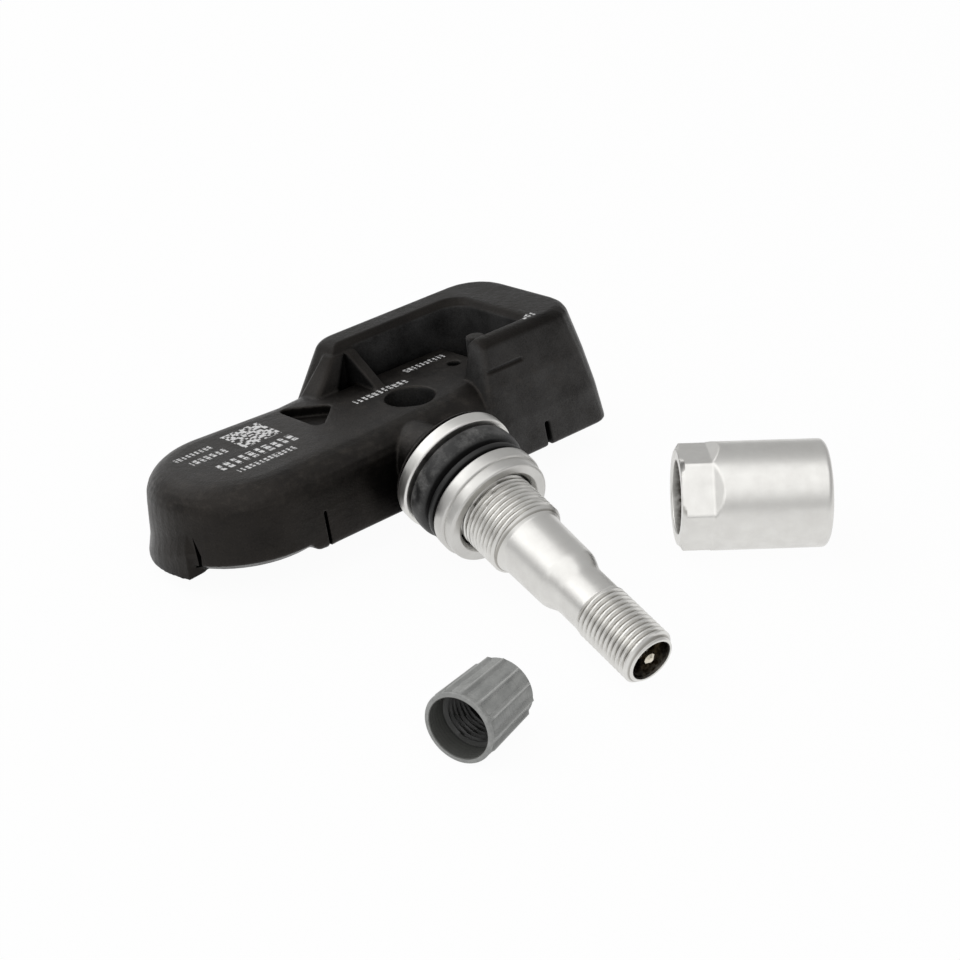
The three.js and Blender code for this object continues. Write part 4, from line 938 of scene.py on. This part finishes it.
# The pieces that keep their CAD solids
STEEL = plain_look("plated_steel", dark=(0.5, 0.5, 0.5), light=(0.62, 0.62, 0.61), rough=0.3, metallic=1.0)
BRASS = plain_look("turned_brass", dark=(0.5, 0.36, 0.17), light=(0.62, 0.47, 0.25), rough=0.32, metallic=1.0)
RUBBER = plain_look("black_rubber", dark=(0.012, 0.012, 0.012), light=(0.025, 0.025, 0.025), rough=0.7)
COPPER = plain_look(
    "enamelled_copper", dark=(0.45, 0.17, 0.07), light=(0.6, 0.26, 0.12), rough=0.35,
    metallic=1.0, scale=4.0)
PALE = plain_look("pale_sinter", dark=(0.6, 0.59, 0.56), light=(0.75, 0.74, 0.71), rough=0.8)
POTTING = plain_look(
    "potting_compound", dark=(0.008, 0.008, 0.009), light=(0.016, 0.016, 0.017), rough=0.3,
    scale=0.4, grain=0.05)
CHIP = plain_look("chip_package", dark=(0.012, 0.012, 0.013), light=(0.022, 0.022, 0.023), rough=0.5)
FERRITE = plain_look("ferrite", dark=(0.03, 0.03, 0.032), light=(0.05, 0.05, 0.053), rough=0.6)
CERAMIC = plain_look("fired_ceramic", dark=(0.5, 0.36, 0.22), light=(0.6, 0.46, 0.3), rough=0.5)
PIN_STEEL = plain_look("pin_steel", dark=(0.6, 0.55, 0.45), light=(0.75, 0.7, 0.6), rough=0.25, metallic=1.0)
KEPT = {
    "potting": POTTING,
    "circuit_board": board_look(),
    "battery_cell": STEEL,
    "battery_strap_top": STEEL,
    "battery_strap_bottom": STEEL,
    "sensor_chip": CHIP,
    "port_seal": RUBBER,
    "port_filter": PALE,
    "crystal": STEEL,
    "lf_core": FERRITE,
    "lf_winding": COPPER,
    "rf_antenna": COPPER,
    "antenna_capacitor": CERAMIC,
    "core_head": BRASS,
    "core_barrel": BRASS,
    "core_gasket": PALE,
    "core_pin": PIN_STEEL,
    "core_seat": RUBBER,
    "core_spring": STEEL,
    "cap_seal": RUBBER,
}
for node, material in KEPT.items():
    shown = frame["nodes"][node]
    shown.data.materials.clear()
    shown.data.materials.append(material)


# Studio

def studio_floor():
    """A pale floor, white to the camera and bright in what shines."""
    mesh = bpy.data.meshes.new("floor")
    half = FLOOR_SIZE / 2
    corners = [(-half, -half, 0), (half, -half, 0), (half, half, 0), (-half, half, 0)]
    mesh.from_pydata(corners, [], [(0, 1, 2, 3)])
    floor = bpy.data.objects.new("floor", mesh)
    bpy.context.scene.collection.objects.link(floor)
    look = Look("pale_floor")
    glow = look.node("ShaderNodeEmission", {"Color": grey(1.0), "Strength": 1.0}).outputs[0]
    matte = look.node("ShaderNodeBsdfDiffuse", {"Color": grey(FLOOR_GREY)}).outputs[0]
    path = look.node("ShaderNodeLightPath").outputs
    seen_share = look.product(path["Is Camera Ray"], FLOOR_GLOW)
    shiny_share = look.product(path["Is Glossy Ray"], SHINY_FLOOR)
    share = look.math("ADD", seen_share, shiny_share)
    seen = look.node("ShaderNodeMixShader", {0: share, 1: matte, 2: glow}).outputs[0]
    look.feed(look.tree.nodes["Material Output"].inputs["Surface"], seen)
    mesh.materials.append(look.material)


def studio_world():
    """Even light, white behind everything the camera sees, and a soft tent in what shines."""
    world = bpy.data.worlds.new("studio")
    bpy.context.scene.world = world
    world.use_nodes = True
    tree = world.node_tree
    even = tree.nodes["Background"]
    even.inputs["Strength"].default_value = AMBIENT
    even.inputs["Color"].default_value = grey(1.0)

    def joined(kind, inputs, **settings):
        made = tree.nodes.new(kind)
        for key, value in settings.items():
            setattr(made, key, value)
        for key, value in inputs.items():
            if isinstance(value, bpy.types.NodeSocket):
                tree.links.new(value, made.inputs[key])
            else:
                made.inputs[key].default_value = value
        return made.outputs

    path = joined("ShaderNodeLightPath", {})
    ray = joined("ShaderNodeTexCoord", {})["Generated"]
    height = joined("ShaderNodeVectorMath", {0: ray, 1: TENT_AIM}, operation="DOT_PRODUCT")["Value"]
    limits = {"From Min": TENT_FROM, "From Max": TENT_TO, "To Min": TENT_LOW, "To Max": TENT_HIGH}
    ramp = joined("ShaderNodeMapRange", {"Value": height, **limits}, interpolation_type="SMOOTHSTEP")[0]
    tent = joined("ShaderNodeBackground", {"Color": grey(1.0), "Strength": ramp})[0]
    backdrop = joined("ShaderNodeBackground", {"Color": grey(1.0), "Strength": 1.0})[0]
    shiny = joined("ShaderNodeMixShader", {0: path["Is Glossy Ray"], 1: even.outputs[0], 2: tent})[0]
    seen = joined("ShaderNodeMixShader", {0: path["Is Camera Ray"], 1: shiny, 2: backdrop})[0]
    tree.links.new(seen, tree.nodes["World Output"].inputs["Surface"])


def softbox(name, spot, size, power):
    """A rectangular lamp that looks at the middle of the floor."""
    data = bpy.data.lights.new(name, "AREA")
    data.shape = "RECTANGLE"
    data.size, data.size_y = size
    data.energy = power
    lamp = bpy.data.objects.new(name, data)
    lamp.location = spot
    lamp.rotation_euler = (-Vector(spot)).to_track_quat("-Z", "Y").to_euler()
    bpy.context.scene.collection.objects.link(lamp)


def studio_camera():
    data = bpy.data.cameras.new("camera")
    data.lens = FOCAL
    data.sensor_width = SENSOR
    data.clip_start = CLIP_START
    camera = bpy.data.objects.new("camera", data)
    spot, aim = Vector(CAMERA_SPOT) * MM, Vector(AIM) * MM
    camera.location = spot
    camera.rotation_euler = (aim - spot).to_track_quat("-Z", "Y").to_euler()
    bpy.context.scene.collection.objects.link(camera)
    bpy.context.scene.camera = camera


studio_floor()
studio_world()
softbox("key", **KEY)
softbox("back", **BACK)
studio_camera()
bpy.context.scene.view_settings.view_transform = "Standard"
